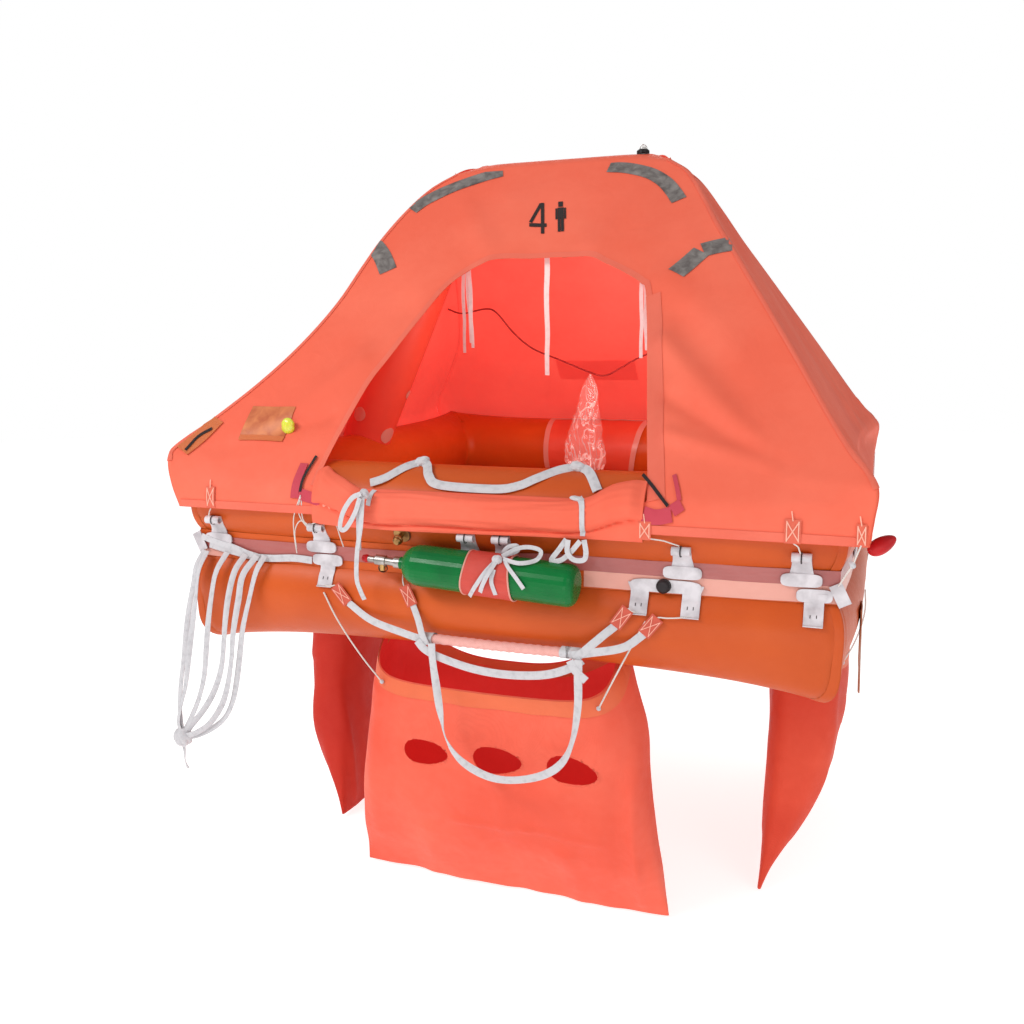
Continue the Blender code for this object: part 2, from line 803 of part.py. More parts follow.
BOTTLE_Y = -(LINE + band_face(0.0) + 0.0035 + BOTTLE_R)
START = Vector((BOTTLE_FROM[0], BOTTLE_Y, BOTTLE_FROM[1]))
END = Vector((BOTTLE_TO[0], BOTTLE_Y, BOTTLE_TO[1]))
AXIS = (END - START).normalized()
LENGTH = (END - START).length


def along_bottle(distance):
    return START + AXIS * distance


bottle = [(0.0, LENGTH)]
for k in range(6):
    turn = pi / 2 * k / 5
    bottle.append((BOTTLE_R - 0.022 + 0.022 * sin(turn), LENGTH - 0.022 + 0.022 * cos(turn)))
for k in range(6):
    turn = pi / 2 * k / 5
    bottle.append((0.016 + (BOTTLE_R - 0.016) * cos(turn), 0.062 - 0.050 * sin(turn)))
bottle += [(0.016, 0.0), (0.0, 0.0)]
turned("gas_cylinder", bottle, START, AXIS, GREEN_PAINT, 32)

head = [(0.0, 0.0), (0.0150, 0.0), (0.0150, -0.016), (0.0105, -0.018), (0.0105, -0.040),
        (0.0135, -0.042), (0.0135, -0.070), (0.0085, -0.074), (0.0085, -0.092), (0.0, -0.092)]
turned("cylinder_valve", head, along_bottle(-GAP), AXIS, STEEL, 20)
cap = [(0.0, 0.0), (0.009, 0.0), (0.011, -0.006), (0.008, -0.016), (0.0, -0.018)]
turned("valve_cap", cap, along_bottle(-0.0924 - GAP), AXIS, RED_PLASTIC, 16)

SLEEVE = (0.190, 0.312)
bm = bmesh.new()
rings = []
for distance in SLEEVE:
    ring = []
    for k in range(32):
        turn = 2 * pi * k / 32
        flat = Vector((0, 0, 1)).cross(AXIS).normalized()
        high = AXIS.cross(flat)
        round_bottle = (flat * cos(turn) + high * sin(turn)) * (BOTTLE_R + 0.0005)
        ring.append(along_bottle(distance) + round_bottle)
    rings.append([bm.verts.new(point) for point in ring])
for k in range(32):
    bm.faces.new((rings[0][k], rings[0][(k + 1) % 32], rings[1][(k + 1) % 32], rings[1][k]))
bm.normal_update()
bm.faces.ensure_lookup_table()
if bm.faces[0].normal.dot(bm.faces[0].calc_center_median() - along_bottle(0.25)) < 0:
    bmesh.ops.reverse_faces(bm, faces=bm.faces)
solidify(mesh_object("cylinder_sleeve", bm, BAG_CLOTH), 0.0025, 1.0)

# Brass inflation valve on the upper tube, black relief valve on the double patch.
VALVE_TURN = radians(-24)
valve_y, valve_z = on_upper(VALVE_TURN, GAP, -0.205)
turned("inflation_valve",
       [(0.0, 0.040), (0.007, 0.040), (0.011, 0.036), (0.011, 0.022), (0.007, 0.020),
        (0.007, 0.005), (0.022, 0.004), (0.022, 0.0), (0.0, 0.0)],
       (-0.205, valve_y, valve_z), (0, -cos(VALVE_TURN), sin(VALVE_TURN)), BRASS, 20)
RELIEF_Z = -0.0165
patch_front = -(LINE + patch_face(0.481 - 0.018, RELIEF_Z) + FITTING_THICK + SEAT)
turned("relief_valve",
       [(0.0, 0.016), (0.012, 0.016), (0.017, 0.011), (0.018, 0.0), (0.0, 0.0)],
       (0.477, patch_front, RELIEF_Z), (0, -1, 0), BLACK_PLASTIC, 20)

# Lamp on the crest

LAMP_X = 0.205
lamp_z = CREST + CLOTH + 0.0006
turned("lamp_base", [(0.0, 0.012), (0.016, 0.012), (0.020, 0.008), (0.020, 0.0), (0.0, 0.0)],
       (LAMP_X, 0.0, lamp_z), (0, 0, 1), BLACK_PLASTIC, 20)
dome = [(0.0, 0.016)]
dome += [(0.014 * sin(pi / 2 * k / 5), 0.016 * cos(pi / 2 * k / 5)) for k in range(1, 6)]
dome += [(0.0, 0.0)]
turned("lamp_dome", dome, (LAMP_X, 0.0, lamp_z + 0.012 + GAP), (0, 0, 1), CLEAR_PLASTIC, 20)

# Water bags

def bag_point(side, along, out, z):
    """A point of a bag: along its side, out from its inner wall, at a height."""
    reach = BAG_REACH + out
    x = OUT[side][0] * reach + ALONG[side][0] * along
    y = OUT[side][1] * reach + ALONG[side][1] * along
    return (x, y, z)


BAG_ROWS = (
    (0.0, 1.0), (0.15, 1.0), (0.35, 0.97), (0.55, 0.84), (0.75, 0.55), (0.9, 0.27), (1.0, 0.11),
)


def under_tube(reach):
    """Height just under the lower tube, or under the floor inside it, at a reach from the middle."""
    u = min(0.0, reach - LINE)
    if u < FLOOR_HALF - LINE:
        return FLOOR_Z - 0.004 - SEAT
    return -TUBE_Z - sqrt(TUBE_R ** 2 - u * u) - 0.0035


def bag_rings(side):
    rings = []
    for share, depth in BAG_ROWS:
        half = BAG_TOP_HALF + (BAG_LOW_HALF - BAG_TOP_HALF) * share
        ring = []
        for k in range(20):
            turn = 2 * pi * (k + 0.5) / 20
            c, s = cos(turn), sin(turn)
            along = half * abs(c) ** 0.35 * (1 if c > 0 else -1)
            out = BAG_DEPTH * depth * (0.5 + 0.5 * abs(s) ** 0.6 * (1 if s > 0 else -1))
            inner = 1 - out / (BAG_DEPTH * depth)
            corner = (abs(along) / half) ** 3
            top = min(BAG_RIM + inner * (0.010 + BAG_LIFT * corner), under_tube(BAG_REACH + out))
            ring.append(bag_point(side, along, out, top + (BAG_BOTTOM - top) * share))
        rings.append(ring)
    return rings


HOLES = (-0.207, 0.010, 0.217)
for side, label in ((0, "front"), (1, "right"), (3, "left")):
    bm = bmesh.new()
    made = [[bm.verts.new(point) for point in ring] for ring in bag_rings(side)]
    for one, two in zip(made, made[1:]):
        for i in range(20):
            bm.faces.new((one[i], one[(i + 1) % 20], two[(i + 1) % 20], two[i]))
    bm.faces.new(made[-1])
    bmesh.ops.recalc_face_normals(bm, faces=bm.faces)
    bm.normal_update()
    lowest = min(bm.faces, key=lambda f: f.calc_center_median().z)
    if lowest.normal.z > 0:
        bmesh.ops.reverse_faces(bm, faces=bm.faces)
    bag = solidify(mesh_object("ballast_bag_" + label, bm, BAG_CLOTH), CLOTH, -1.0)
    bm = bmesh.new()
    for along in HOLES:
        made = bmesh.ops.create_cone(bm, cap_ends=True, segments=16, radius1=1, radius2=1, depth=1)
        for vert in made["verts"]:
            x, y, z = vert.co
            vert.co = bag_point(side, along + 0.068 * x, 0.20 + 0.16 * z, -0.563 + 0.027 * y)
    cut(bag, cutter_object("bag_holes_" + label, bm))


def bag_wall(along):
    """Where the outer wall of a bag's rim stands at a place along it."""
    c = (abs(along) / BAG_TOP_HALF) ** (1 / 0.35)
    return BAG_DEPTH * (0.5 + 0.5 * sqrt(1 - c * c) ** 0.6)


CORD_R = 0.0022
for side, label in ((0, "front"), (1, "right"), (3, "left")):
    for n, sign in enumerate((-1, 1)):
        out = Vector((*OUT[side], 0.0))
        low_along = sign * (BAG_TOP_HALF - 0.040)
        low = Vector(bag_point(side, low_along, bag_wall(low_along) + CORD_R + 0.0012, BAG_RIM - 0.014))
        high_along = sign * (BAG_TOP_HALF + 0.105)
        lift = LINE + tube_face(high_along, -TUBE_Z, False) + CORD_R + 2 * SEAT - BAG_REACH
        high = Vector(bag_point(side, high_along, lift, -0.112))
        middle = high.lerp(low, 0.5) + out * 0.022
        cord("bag_cord_%s_%d" % (label, n + 1), [high, middle, low], CORD_R, WHITE_WEB, 3)

# Boarding ladder

bm = bmesh.new()
bmesh.ops.create_cone(
    bm, cap_ends=True, segments=16, radius1=RUNG_R, radius2=RUNG_R, depth=RUNG_ENDS[1] - RUNG_ENDS[0]
)
for vert in bm.verts:
    x, y, z = vert.co
    vert.co = (z + (RUNG_ENDS[0] + RUNG_ENDS[1]) / 2, x + RUNG_Y, y + RUNG_Z)
mesh_object("ladder_rung", bm, PINK_WEB)


def layer(n):
    """y of the n-th thickness of webbing that lies on the front of the rung."""
    return RUNG_Y - RUNG_R - 0.0004 - n * (WEB_THICK + 0.0006)


def on_lower(x, z):
    """A point just off the front of the lower tube, where the tube stands furthest out."""
    return (x, -(LINE + tube_face(x, -TUBE_Z, False) + SEAT), z)


# Each strap: name, top on the tube, a place between, foot on the rung, layer.
for name, top, between, foot, n in (
    ("ladder_strap_left", (-0.385, -0.096), (-0.290, -0.160), (-0.128, -0.196), 0),
    ("ladder_strap_inner", (-0.176, -0.099), (-0.152, -0.145), (-0.126, -0.208), 1),
    ("ladder_strap_right", (0.466, -0.106), (0.400, -0.165), (0.262, -0.196), 0),
    ("ladder_strap_outer", (0.403, -0.098), (0.345, -0.145), (0.272, -0.204), 1),
):
    across = (foot[0], layer(n), foot[1])
    near = (between[0], layer(n), between[1])
    ribbon(name, [on_lower(*top), near, across], 0.020, WHITE_WEB, steps=1)
ribbon("ladder_sling",
       [(-0.150, layer(2), -0.196), (-0.103, layer(2), -0.233), (0.017, layer(2), -0.258),
        (0.152, layer(2), -0.257), (0.255, layer(2), -0.232), (0.296, layer(2), -0.200)],
       0.020, WHITE_WEB, steps=3)
ribbon("ladder_loop",
       [(-0.108, layer(3), -0.198), (-0.086, layer(3), -0.240), (-0.068, layer(3), -0.355),
        (-0.048, layer(3), -0.475), (-0.001, layer(3), -0.524), (0.110, layer(3), -0.535),
        (0.204, layer(3), -0.507), (0.268, layer(3), -0.438), (0.286, layer(3), -0.311),
        (0.284, layer(3), -0.200)],
       0.020, WHITE_WEB, steps=4)

# Hanging webbing, float, tongue

KNOT = Vector((-0.905, -0.965, -0.560))
KNOT_HALF = Vector((0.024, 0.018, 0.026))
bm = bmesh.new()
bmesh.ops.create_icosphere(bm, subdivisions=3, radius=1.0)
for vert in bm.verts:
    vert.co = KNOT + vert.co * KNOT_HALF
mesh_object("webbing_knot", bm, WHITE_WEB)
STRAND_R = 0.0085


def on_band(x):
    """Where a strand leaves the band."""
    return Vector((x, -(LINE + band_face(x) + 0.94 * STRAND_R + SEAT), -0.022))


def at_knot(dx, dz, away=0.0):
    """A point just off the knot, or further away, in a direction."""
    toward = Vector((dx, 0.0, dz)).normalized()
    reach = 1 / hypot(toward.x / KNOT_HALF.x, toward.z / KNOT_HALF.z)
    return KNOT + toward * (reach + SEAT + away)


for name, points in (
    ("webbing_strand_1", [on_band(-0.640), Vector((-0.668, -0.935, -0.120)),
                          Vector((-0.692, -0.950, -0.221)), Vector((-0.711, -0.960, -0.371)),
                          Vector((-0.752, -0.962, -0.479)), at_knot(0.985, 0.17, 0.050),
                          at_knot(0.985, 0.17)]),
    ("webbing_strand_2", [on_band(-0.704), Vector((-0.736, -0.935, -0.110)),
                          Vector((-0.748, -0.958, -0.258)), Vector((-0.768, -0.965, -0.368)),
                          at_knot(0.62, 0.785, 0.100), at_knot(0.62, 0.785)]),
    ("webbing_strand_3", [on_band(-0.850), Vector((-0.866, -0.925, -0.110)),
                          Vector((-0.876, -0.950, -0.220)), Vector((-0.890, -0.960, -0.330)),
                          at_knot(-0.10, 0.995, 0.080), at_knot(-0.10, 0.995)]),
):
    cord(name, points, STRAND_R, WHITE_WEB, 4)
tail = at_knot(0.0, -1.0)
cord("webbing_tail", [tail, tail + Vector((0.001, 0.0, -0.030)), tail + Vector((0.009, 0.0, -0.065))],
     0.0075, WHITE_WEB, 4)

FLOAT_MIDDLE = Vector((0.9577, -0.880, 0.1092))
FLOAT_HALF = Vector((0.034, 0.019, 0.019))
FLOAT_TILT = radians(35)
bm = bmesh.new()
bmesh.ops.create_icosphere(bm, subdivisions=3, radius=1.0)
for vert in bm.verts:
    long, flat, thick = vert.co * FLOAT_HALF
    across = long * cos(FLOAT_TILT) - thick * sin(FLOAT_TILT)
    rise = long * sin(FLOAT_TILT) + thick * cos(FLOAT_TILT)
    vert.co = FLOAT_MIDDLE + Vector((across, flat, rise))
mesh_object("corner_float", bm, RED_PLASTIC)

tongue_rows = []
for z, half in ((-0.100, 0.050), (-0.180, 0.050), (-0.260, 0.048), (-0.305, 0.040), (-0.325, 0.018)):
    face = LINE + tube_face(0.560, -TUBE_Z, False) + SEAT
    tongue_rows.append([(face, -0.610 + half * t, z) for t in (-1, -0.5, 0, 0.5, 1)])
sheet("towing_tongue", tongue_rows, BROWN_CLOTH, 0.0035, lambda p: Vector((1, 0, 0)))
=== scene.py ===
"""Looks of a four-person inflatable life raft: cloth, webbing, cords, paint and light.

Everything is in metres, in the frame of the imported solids. Heights are counted from the
seam between the two tubes, and raised() turns such a height into one of that frame.
"""

import json
from math import acos, asin, atan2, cos, exp, hypot, pi, radians, sin, sqrt, tan

import bmesh
import bpy
from mathutils import Matrix, Vector, noise
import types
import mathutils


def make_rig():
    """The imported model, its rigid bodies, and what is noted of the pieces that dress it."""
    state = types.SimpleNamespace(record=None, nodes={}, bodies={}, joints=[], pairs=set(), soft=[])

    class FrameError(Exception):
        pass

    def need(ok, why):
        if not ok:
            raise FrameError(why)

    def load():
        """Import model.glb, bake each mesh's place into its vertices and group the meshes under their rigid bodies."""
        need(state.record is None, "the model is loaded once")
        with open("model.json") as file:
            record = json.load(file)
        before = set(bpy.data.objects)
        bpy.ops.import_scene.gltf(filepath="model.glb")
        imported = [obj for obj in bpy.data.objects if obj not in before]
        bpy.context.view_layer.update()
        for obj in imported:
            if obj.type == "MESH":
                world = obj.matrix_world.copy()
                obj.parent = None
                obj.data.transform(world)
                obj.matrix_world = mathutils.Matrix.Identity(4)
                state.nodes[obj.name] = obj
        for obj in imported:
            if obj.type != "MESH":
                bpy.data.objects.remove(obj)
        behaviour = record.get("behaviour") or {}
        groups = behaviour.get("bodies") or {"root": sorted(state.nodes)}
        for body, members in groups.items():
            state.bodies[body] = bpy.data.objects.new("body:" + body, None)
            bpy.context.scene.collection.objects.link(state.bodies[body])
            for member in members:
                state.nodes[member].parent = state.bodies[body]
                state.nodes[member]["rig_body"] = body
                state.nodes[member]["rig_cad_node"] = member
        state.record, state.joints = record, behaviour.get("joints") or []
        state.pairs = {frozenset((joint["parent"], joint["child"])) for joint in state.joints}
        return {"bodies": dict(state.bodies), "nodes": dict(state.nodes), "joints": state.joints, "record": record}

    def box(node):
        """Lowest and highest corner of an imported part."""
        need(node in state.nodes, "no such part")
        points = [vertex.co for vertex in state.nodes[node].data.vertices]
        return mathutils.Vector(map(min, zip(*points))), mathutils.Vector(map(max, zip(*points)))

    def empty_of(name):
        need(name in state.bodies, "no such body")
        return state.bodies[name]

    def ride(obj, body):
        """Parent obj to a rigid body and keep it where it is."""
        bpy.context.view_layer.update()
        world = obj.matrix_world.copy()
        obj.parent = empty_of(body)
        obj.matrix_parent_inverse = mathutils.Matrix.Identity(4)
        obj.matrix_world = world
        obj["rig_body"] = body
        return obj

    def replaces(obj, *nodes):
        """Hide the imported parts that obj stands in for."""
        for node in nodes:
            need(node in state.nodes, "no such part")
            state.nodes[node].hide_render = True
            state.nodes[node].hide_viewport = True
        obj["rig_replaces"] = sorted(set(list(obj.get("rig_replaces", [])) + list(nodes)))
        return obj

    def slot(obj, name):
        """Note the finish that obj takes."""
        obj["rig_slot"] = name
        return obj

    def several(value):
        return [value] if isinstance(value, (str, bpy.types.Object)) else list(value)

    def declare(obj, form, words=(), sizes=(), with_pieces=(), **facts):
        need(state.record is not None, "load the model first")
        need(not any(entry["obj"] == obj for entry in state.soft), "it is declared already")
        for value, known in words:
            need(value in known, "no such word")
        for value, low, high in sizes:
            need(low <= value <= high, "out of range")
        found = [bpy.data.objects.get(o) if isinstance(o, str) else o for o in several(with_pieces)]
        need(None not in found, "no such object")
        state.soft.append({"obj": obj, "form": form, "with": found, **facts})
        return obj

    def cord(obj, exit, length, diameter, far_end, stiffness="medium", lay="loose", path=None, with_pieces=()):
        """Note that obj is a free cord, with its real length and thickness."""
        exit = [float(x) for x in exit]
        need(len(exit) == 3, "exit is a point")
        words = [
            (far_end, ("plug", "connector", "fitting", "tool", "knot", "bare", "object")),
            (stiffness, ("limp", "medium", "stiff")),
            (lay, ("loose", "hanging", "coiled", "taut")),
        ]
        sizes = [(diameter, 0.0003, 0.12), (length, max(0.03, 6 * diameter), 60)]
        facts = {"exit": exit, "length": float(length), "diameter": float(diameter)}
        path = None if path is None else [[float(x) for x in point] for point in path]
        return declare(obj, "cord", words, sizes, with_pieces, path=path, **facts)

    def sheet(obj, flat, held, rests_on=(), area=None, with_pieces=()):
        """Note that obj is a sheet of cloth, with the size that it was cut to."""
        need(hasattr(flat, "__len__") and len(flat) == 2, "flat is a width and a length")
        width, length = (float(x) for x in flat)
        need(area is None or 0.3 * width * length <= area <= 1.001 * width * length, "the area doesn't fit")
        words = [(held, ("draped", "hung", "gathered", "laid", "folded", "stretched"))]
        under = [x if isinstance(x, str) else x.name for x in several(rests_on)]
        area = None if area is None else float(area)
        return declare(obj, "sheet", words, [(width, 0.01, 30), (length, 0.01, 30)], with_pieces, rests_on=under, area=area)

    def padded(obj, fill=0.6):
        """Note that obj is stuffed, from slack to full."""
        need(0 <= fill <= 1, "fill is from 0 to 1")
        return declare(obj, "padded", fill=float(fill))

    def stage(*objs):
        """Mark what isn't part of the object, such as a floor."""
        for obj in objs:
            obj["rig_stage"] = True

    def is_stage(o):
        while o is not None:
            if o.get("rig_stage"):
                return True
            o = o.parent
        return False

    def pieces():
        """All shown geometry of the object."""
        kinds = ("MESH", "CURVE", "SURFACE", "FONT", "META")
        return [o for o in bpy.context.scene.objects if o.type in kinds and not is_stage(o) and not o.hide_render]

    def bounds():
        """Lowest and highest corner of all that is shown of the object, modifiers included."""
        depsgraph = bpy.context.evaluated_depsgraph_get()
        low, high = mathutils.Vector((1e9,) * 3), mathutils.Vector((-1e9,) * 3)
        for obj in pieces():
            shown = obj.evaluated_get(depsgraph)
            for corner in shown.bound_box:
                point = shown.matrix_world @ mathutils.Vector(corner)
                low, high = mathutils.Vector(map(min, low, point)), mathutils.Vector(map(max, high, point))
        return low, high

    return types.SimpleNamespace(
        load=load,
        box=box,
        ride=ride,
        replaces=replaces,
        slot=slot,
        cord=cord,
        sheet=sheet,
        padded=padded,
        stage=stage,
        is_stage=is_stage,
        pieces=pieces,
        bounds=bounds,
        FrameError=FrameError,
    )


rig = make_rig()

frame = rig.load()
cad_low, cad_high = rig.bounds()


# The view, the light and the floor.
# The raft hangs with its water bags free, seen from the front and a little to the right.
# The floor lies just under the bags, because they show in full.

SEAM = (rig.box("seam_band")[0].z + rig.box("seam_band")[1].z) / 2


def raised(height):
    return SEAM + height


EYE = (0.929, -3.163, raised(0.55))
PAN, TILT, ROLL = radians(20.3), radians(9.6), radians(-0.4)
camera = bpy.data.objects.new("camera", bpy.data.cameras.new("camera"))
bpy.context.scene.collection.objects.link(camera)
camera.data.lens = 34.52
camera.data.sensor_width = 36.0
camera.matrix_world = (Matrix.Translation(EYE) @ Matrix.Rotation(PAN, 4, "Z")
    @ Matrix.Rotation(pi / 2 - TILT, 4, "X") @ Matrix.Rotation(ROLL, 4, "Z"))
bpy.context.scene.camera = camera
bpy.context.scene.view_settings.view_transform = "Standard"


def light(name, place, target, width, height, power, colour=(1.0, 1.0, 1.0)):
    """A soft rectangular light that faces a target."""
    made = bpy.data.objects.new(name, bpy.data.lights.new(name, "AREA"))
    bpy.context.scene.collection.objects.link(made)
    made.data.shape = "RECTANGLE"
    made.data.size = width
    made.data.size_y = height
    made.data.energy = power
    made.data.color = colour
    made.location = place
    made.rotation_mode = "QUATERNION"
    made.rotation_quaternion = (Vector(target) - Vector(place)).to_track_quat("-Z", "Y")
    return made


light("key_light", (-2.6, -3.6, 3.0), (0.0, 0.0, 0.2), 3.0, 0.8, 120.0)
light("fill_light", (3.6, -3.0, 1.6), (0.0, 0.0, 0.1), 2.2, 2.2, 27.0)
light("back_light", (-1.5, 3.6, 3.0), (0.0, 0.0, 0.3), 3.0, 2.0, 60.0)
light("low_light", (0.6, -3.8, -0.2), (0.0, -0.6, -0.4), 2.6, 0.8, 12.0)
inner_light = light("through_cloth", (0.05, -0.25, raised(0.48)), (-0.1, 0.9, raised(0.16)), 0.6, 0.3, 5.0,
    (1.0, 0.9, 0.86))
inner_light.visible_camera = False


def feed(tree, made, **sockets):
    """Sets a node's sockets to values, or links them to a node's first output or another one."""
    for name, value in sockets.items():
        socket = made.inputs[int(name[1:]) if name[1:].isdigit() else name.replace("_", " ")]
        if isinstance(value, bpy.types.Node):
            value = value.outputs[0]
        if isinstance(value, bpy.types.NodeSocket):
            tree.links.new(value, socket)
        else:
            socket.default_value = value
    return made


def node(tree, kind, settings=None, **sockets):
    """A shader node with its settings and its sockets."""
    made = tree.nodes.new("ShaderNode" + kind)
    for name, value in (settings or {}).items():
        setattr(made, name, value)
    return feed(tree, made, **sockets)


world = bpy.data.worlds.new("studio")
bpy.context.scene.world = world
world.use_nodes = True
tree = world.node_tree
seen = node(tree, "LightPath")
white = node(tree, "Background", Color=(1.0, 1.0, 1.0, 1.0))
ambient = feed(tree, tree.nodes["Background"], Color=(1.0, 0.99, 0.98, 1.0), Strength=0.5)
both = node(tree, "MixShader", Fac=seen, _1=ambient, _2=white)
feed(tree, tree.nodes["World Output"], Surface=both)


def paint(red, green, blue):
    """A colour given from 0 to 255, as the shaders take it."""
    scaled = [channel / 255 for channel in (red, green, blue)]
    return tuple(c / 12.92 if c <= 0.04045 else ((c + 0.055) / 1.055) ** 2.4 for c in scaled) + (1.0,)


def finish(name, colour, roughness, gloss=0.5, **sockets):
    """A material with one Principled shader; returns it with its tree and its shader."""
    made = bpy.data.materials.new(name)
    made.use_nodes = True
    tree = made.node_tree
    shader = tree.nodes["Principled BSDF"]
    feed(tree, shader, Base_Color=paint(*colour), Roughness=roughness, Specular_IOR_Level=gloss, **sockets)
    return made, tree, shader


def coordinates(tree, source="Object"):
    return node(tree, "TexCoord").outputs[source]


def place_mesh(obj):
    """Puts an object's place and turn into its mesh."""
    bpy.context.view_layer.update()
    obj.data.transform(obj.matrix_world)
    obj.matrix_world = Matrix.Identity(4)
    return obj


def fresh(name, kind, **sizes):
    """A new mesh of a simple shape, the only one that is selected."""
    bpy.ops.object.select_all(action="DESELECT")
    getattr(bpy.ops.mesh, "primitive_%s_add" % kind)(**sizes)
    made = bpy.context.object
    made.name = name
    return made


FLOOR_DROP = 0.012
studio_floor = fresh("studio_floor", "circle", vertices=96, radius=16.0, fill_type="NGON")
studio_floor.location = (0.0, 0.0, cad_low.z - FLOOR_DROP)
place_mesh(studio_floor)
floor_paint, tree, shader = finish("pale_floor", (205, 205, 205), 0.75, Emission_Color=paint(255, 255, 255),
    Emission_Strength=0.78)
speckle = node(tree, "TexNoise", Scale=3.0, Vector=coordinates(tree))
tone = node(tree, "MapRange", Value=speckle, To_Min=0.72, To_Max=0.78)
feed(tree, shader, Roughness=tone)
studio_floor.data.materials.append(floor_paint)
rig.stage(studio_floor)


# Tubes.
# Two ring tubes of rubber-coated cloth, glued one on the other. Each is four straight
# tubes joined by mitres, which pinch the outside and leave an ear above or below.

LINE = 0.93 - 0.1216
TUBE_R = 0.1208
TUBE_Z = 0.1208
OUT = ((0, -1), (1, 0), (0, 1), (-1, 0))
ALONG = ((1, 0), (0, 1), (-1, 0), (0, -1))
UPPER_EAR = (radians(75), 0.26)
LOWER_EAR = (radians(-75), 0.4)


def noise_at(x, y, z):
    return noise.noise(Vector((x, y, z)))


def placed(x, y, height):
    return Vector((x, y, raised(height)))


def at_side(side, p, u, height):
    """A point of side 0 front, 1 right, 2 back or 3 left, u outside the tubes' line."""
    reach = LINE + u
    x = OUT[side][0] * reach + ALONG[side][0] * p * reach
    y = OUT[side][1] * reach + ALONG[side][1] * p * reach
    return placed(x, y, height)


def tube_radius(upper, p, turn):
    share = exp(-(1 - min(1.0, abs(p))) * LINE / 0.2)
    tip, ear = UPPER_EAR if upper else LOWER_EAR
    flat = 0.35 * share * max(0.0, cos(turn)) ** 1.5
    return TUBE_R * (1 - flat + ear * share * exp(-(((turn - tip) / 0.45) ** 2)))


def tube_point(upper, side, p, turn, lift=0.0):
    r = tube_radius(upper, p, turn) + lift
    return at_side(side, p, r * cos(turn), (TUBE_Z if upper else -TUBE_Z) + r * sin(turn))


def group(name, inputs, outputs):
    """An empty node group; returns it, the sockets that it is given, and its last node."""
    made = bpy.data.node_groups.new(name, "ShaderNodeTree")
    for kind, rows in (("INPUT", inputs), ("OUTPUT", outputs)):
        for label, socket_type in rows:
            made.interface.new_socket(name=label, in_out=kind, socket_type="NodeSocket" + socket_type)
    given, taken = made.nodes.new("NodeGroupInput"), made.nodes.new("NodeGroupOutput")
    return made, given.outputs, taken


# Coated cloth: broad changes of shade, faint crinkles and a fine plain weave.
tree, given, taken = group("coated_cloth", (("Vector", "Vector"), ("Colour", "Color"),
    ("Worn colour", "Color"), ("Thread", "Float"), ("Crinkle", "Float"), ("Weave", "Float"),
    ("Smudge", "Float")), (("Colour", "Color"), ("Roughness", "Float"), ("Height", "Float")))
broad = node(tree, "TexNoise", Vector=given["Vector"], Scale=2.6, Detail=4.0)
broad_tone = node(tree, "MapRange", Value=broad, From_Min=0.35, From_Max=0.68)
fine = node(tree, "TexNoise", Vector=given["Vector"], Scale=38.0, Detail=6.0)
fine_tone = node(tree, "MapRange", Value=fine, To_Min=0.0, To_Max=0.3)
tones = node(tree, "Math", {"operation": "ADD", "use_clamp": True}, _0=broad_tone, _1=fine_tone)
shade = node(tree, "Math", {"operation": "MULTIPLY"}, _0=tones, _1=given["Smudge"])
mixed = node(tree, "MixRGB", Fac=shade, Color1=given["Colour"], Color2=given["Worn colour"])
sheen_tone = node(tree, "MapRange", Value=fine, To_Min=0.42, To_Max=0.72)
threads = [node(tree, "TexWave", {"bands_direction": direction}, Vector=given["Vector"],
    Scale=given["Thread"]) for direction in ("X", "Y")]
woven = node(tree, "Math", {"operation": "MULTIPLY"}, _0=threads[0].outputs["Fac"],
    _1=threads[1].outputs["Fac"])
woven = node(tree, "Math", {"operation": "MULTIPLY"}, _0=woven, _1=given["Weave"])
crumple = node(tree, "TexNoise", Vector=given["Vector"], Scale=9.0, Detail=5.0, Distortion=0.8)
crumple = node(tree, "Math", {"operation": "MULTIPLY"}, _0=crumple, _1=given["Crinkle"])
height = node(tree, "Math", {"operation": "ADD"}, _0=woven, _1=crumple)
feed(tree, taken, Colour=mixed, Roughness=sheen_tone, Height=height)
cloth_group = tree


def cloth_finish(name, colour, worn, crinkle=1.0, weave=0.1, thread=260.0, smudge=0.6, depth=0.004,
        source="Object", roughness=None, **sockets):
    """A material of coated cloth. Its pattern follows the object's or the cloth's own map."""
    made, tree, shader = finish(name, colour, 0.6, **sockets)
    place = coordinates(tree, source)
    cloth = node(tree, "Group", {"node_tree": cloth_group}, Vector=place, Colour=paint(*colour),
        Worn_colour=paint(*worn), Thread=thread, Crinkle=crinkle, Weave=weave, Smudge=smudge)
    rough = cloth.outputs["Roughness"]
    if roughness is not None:
        low, high = roughness
        rough = node(tree, "MapRange", Value=rough, From_Min=0.42, From_Max=0.72, To_Min=low, To_Max=high)
    bump = node(tree, "Bump", Height=cloth.outputs["Height"], Strength=0.6, Distance=depth)
    feed(tree, shader, Base_Color=cloth.outputs["Colour"], Roughness=rough, Normal=bump)
    return made


def settle(piece, slot, *solids):
    """Rides a piece on the raft, and names its finish and the solids that it stands for."""
    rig.ride(piece, "root")
    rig.slot(piece, slot)
    if solids:
        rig.replaces(piece, *solids)
    return piece


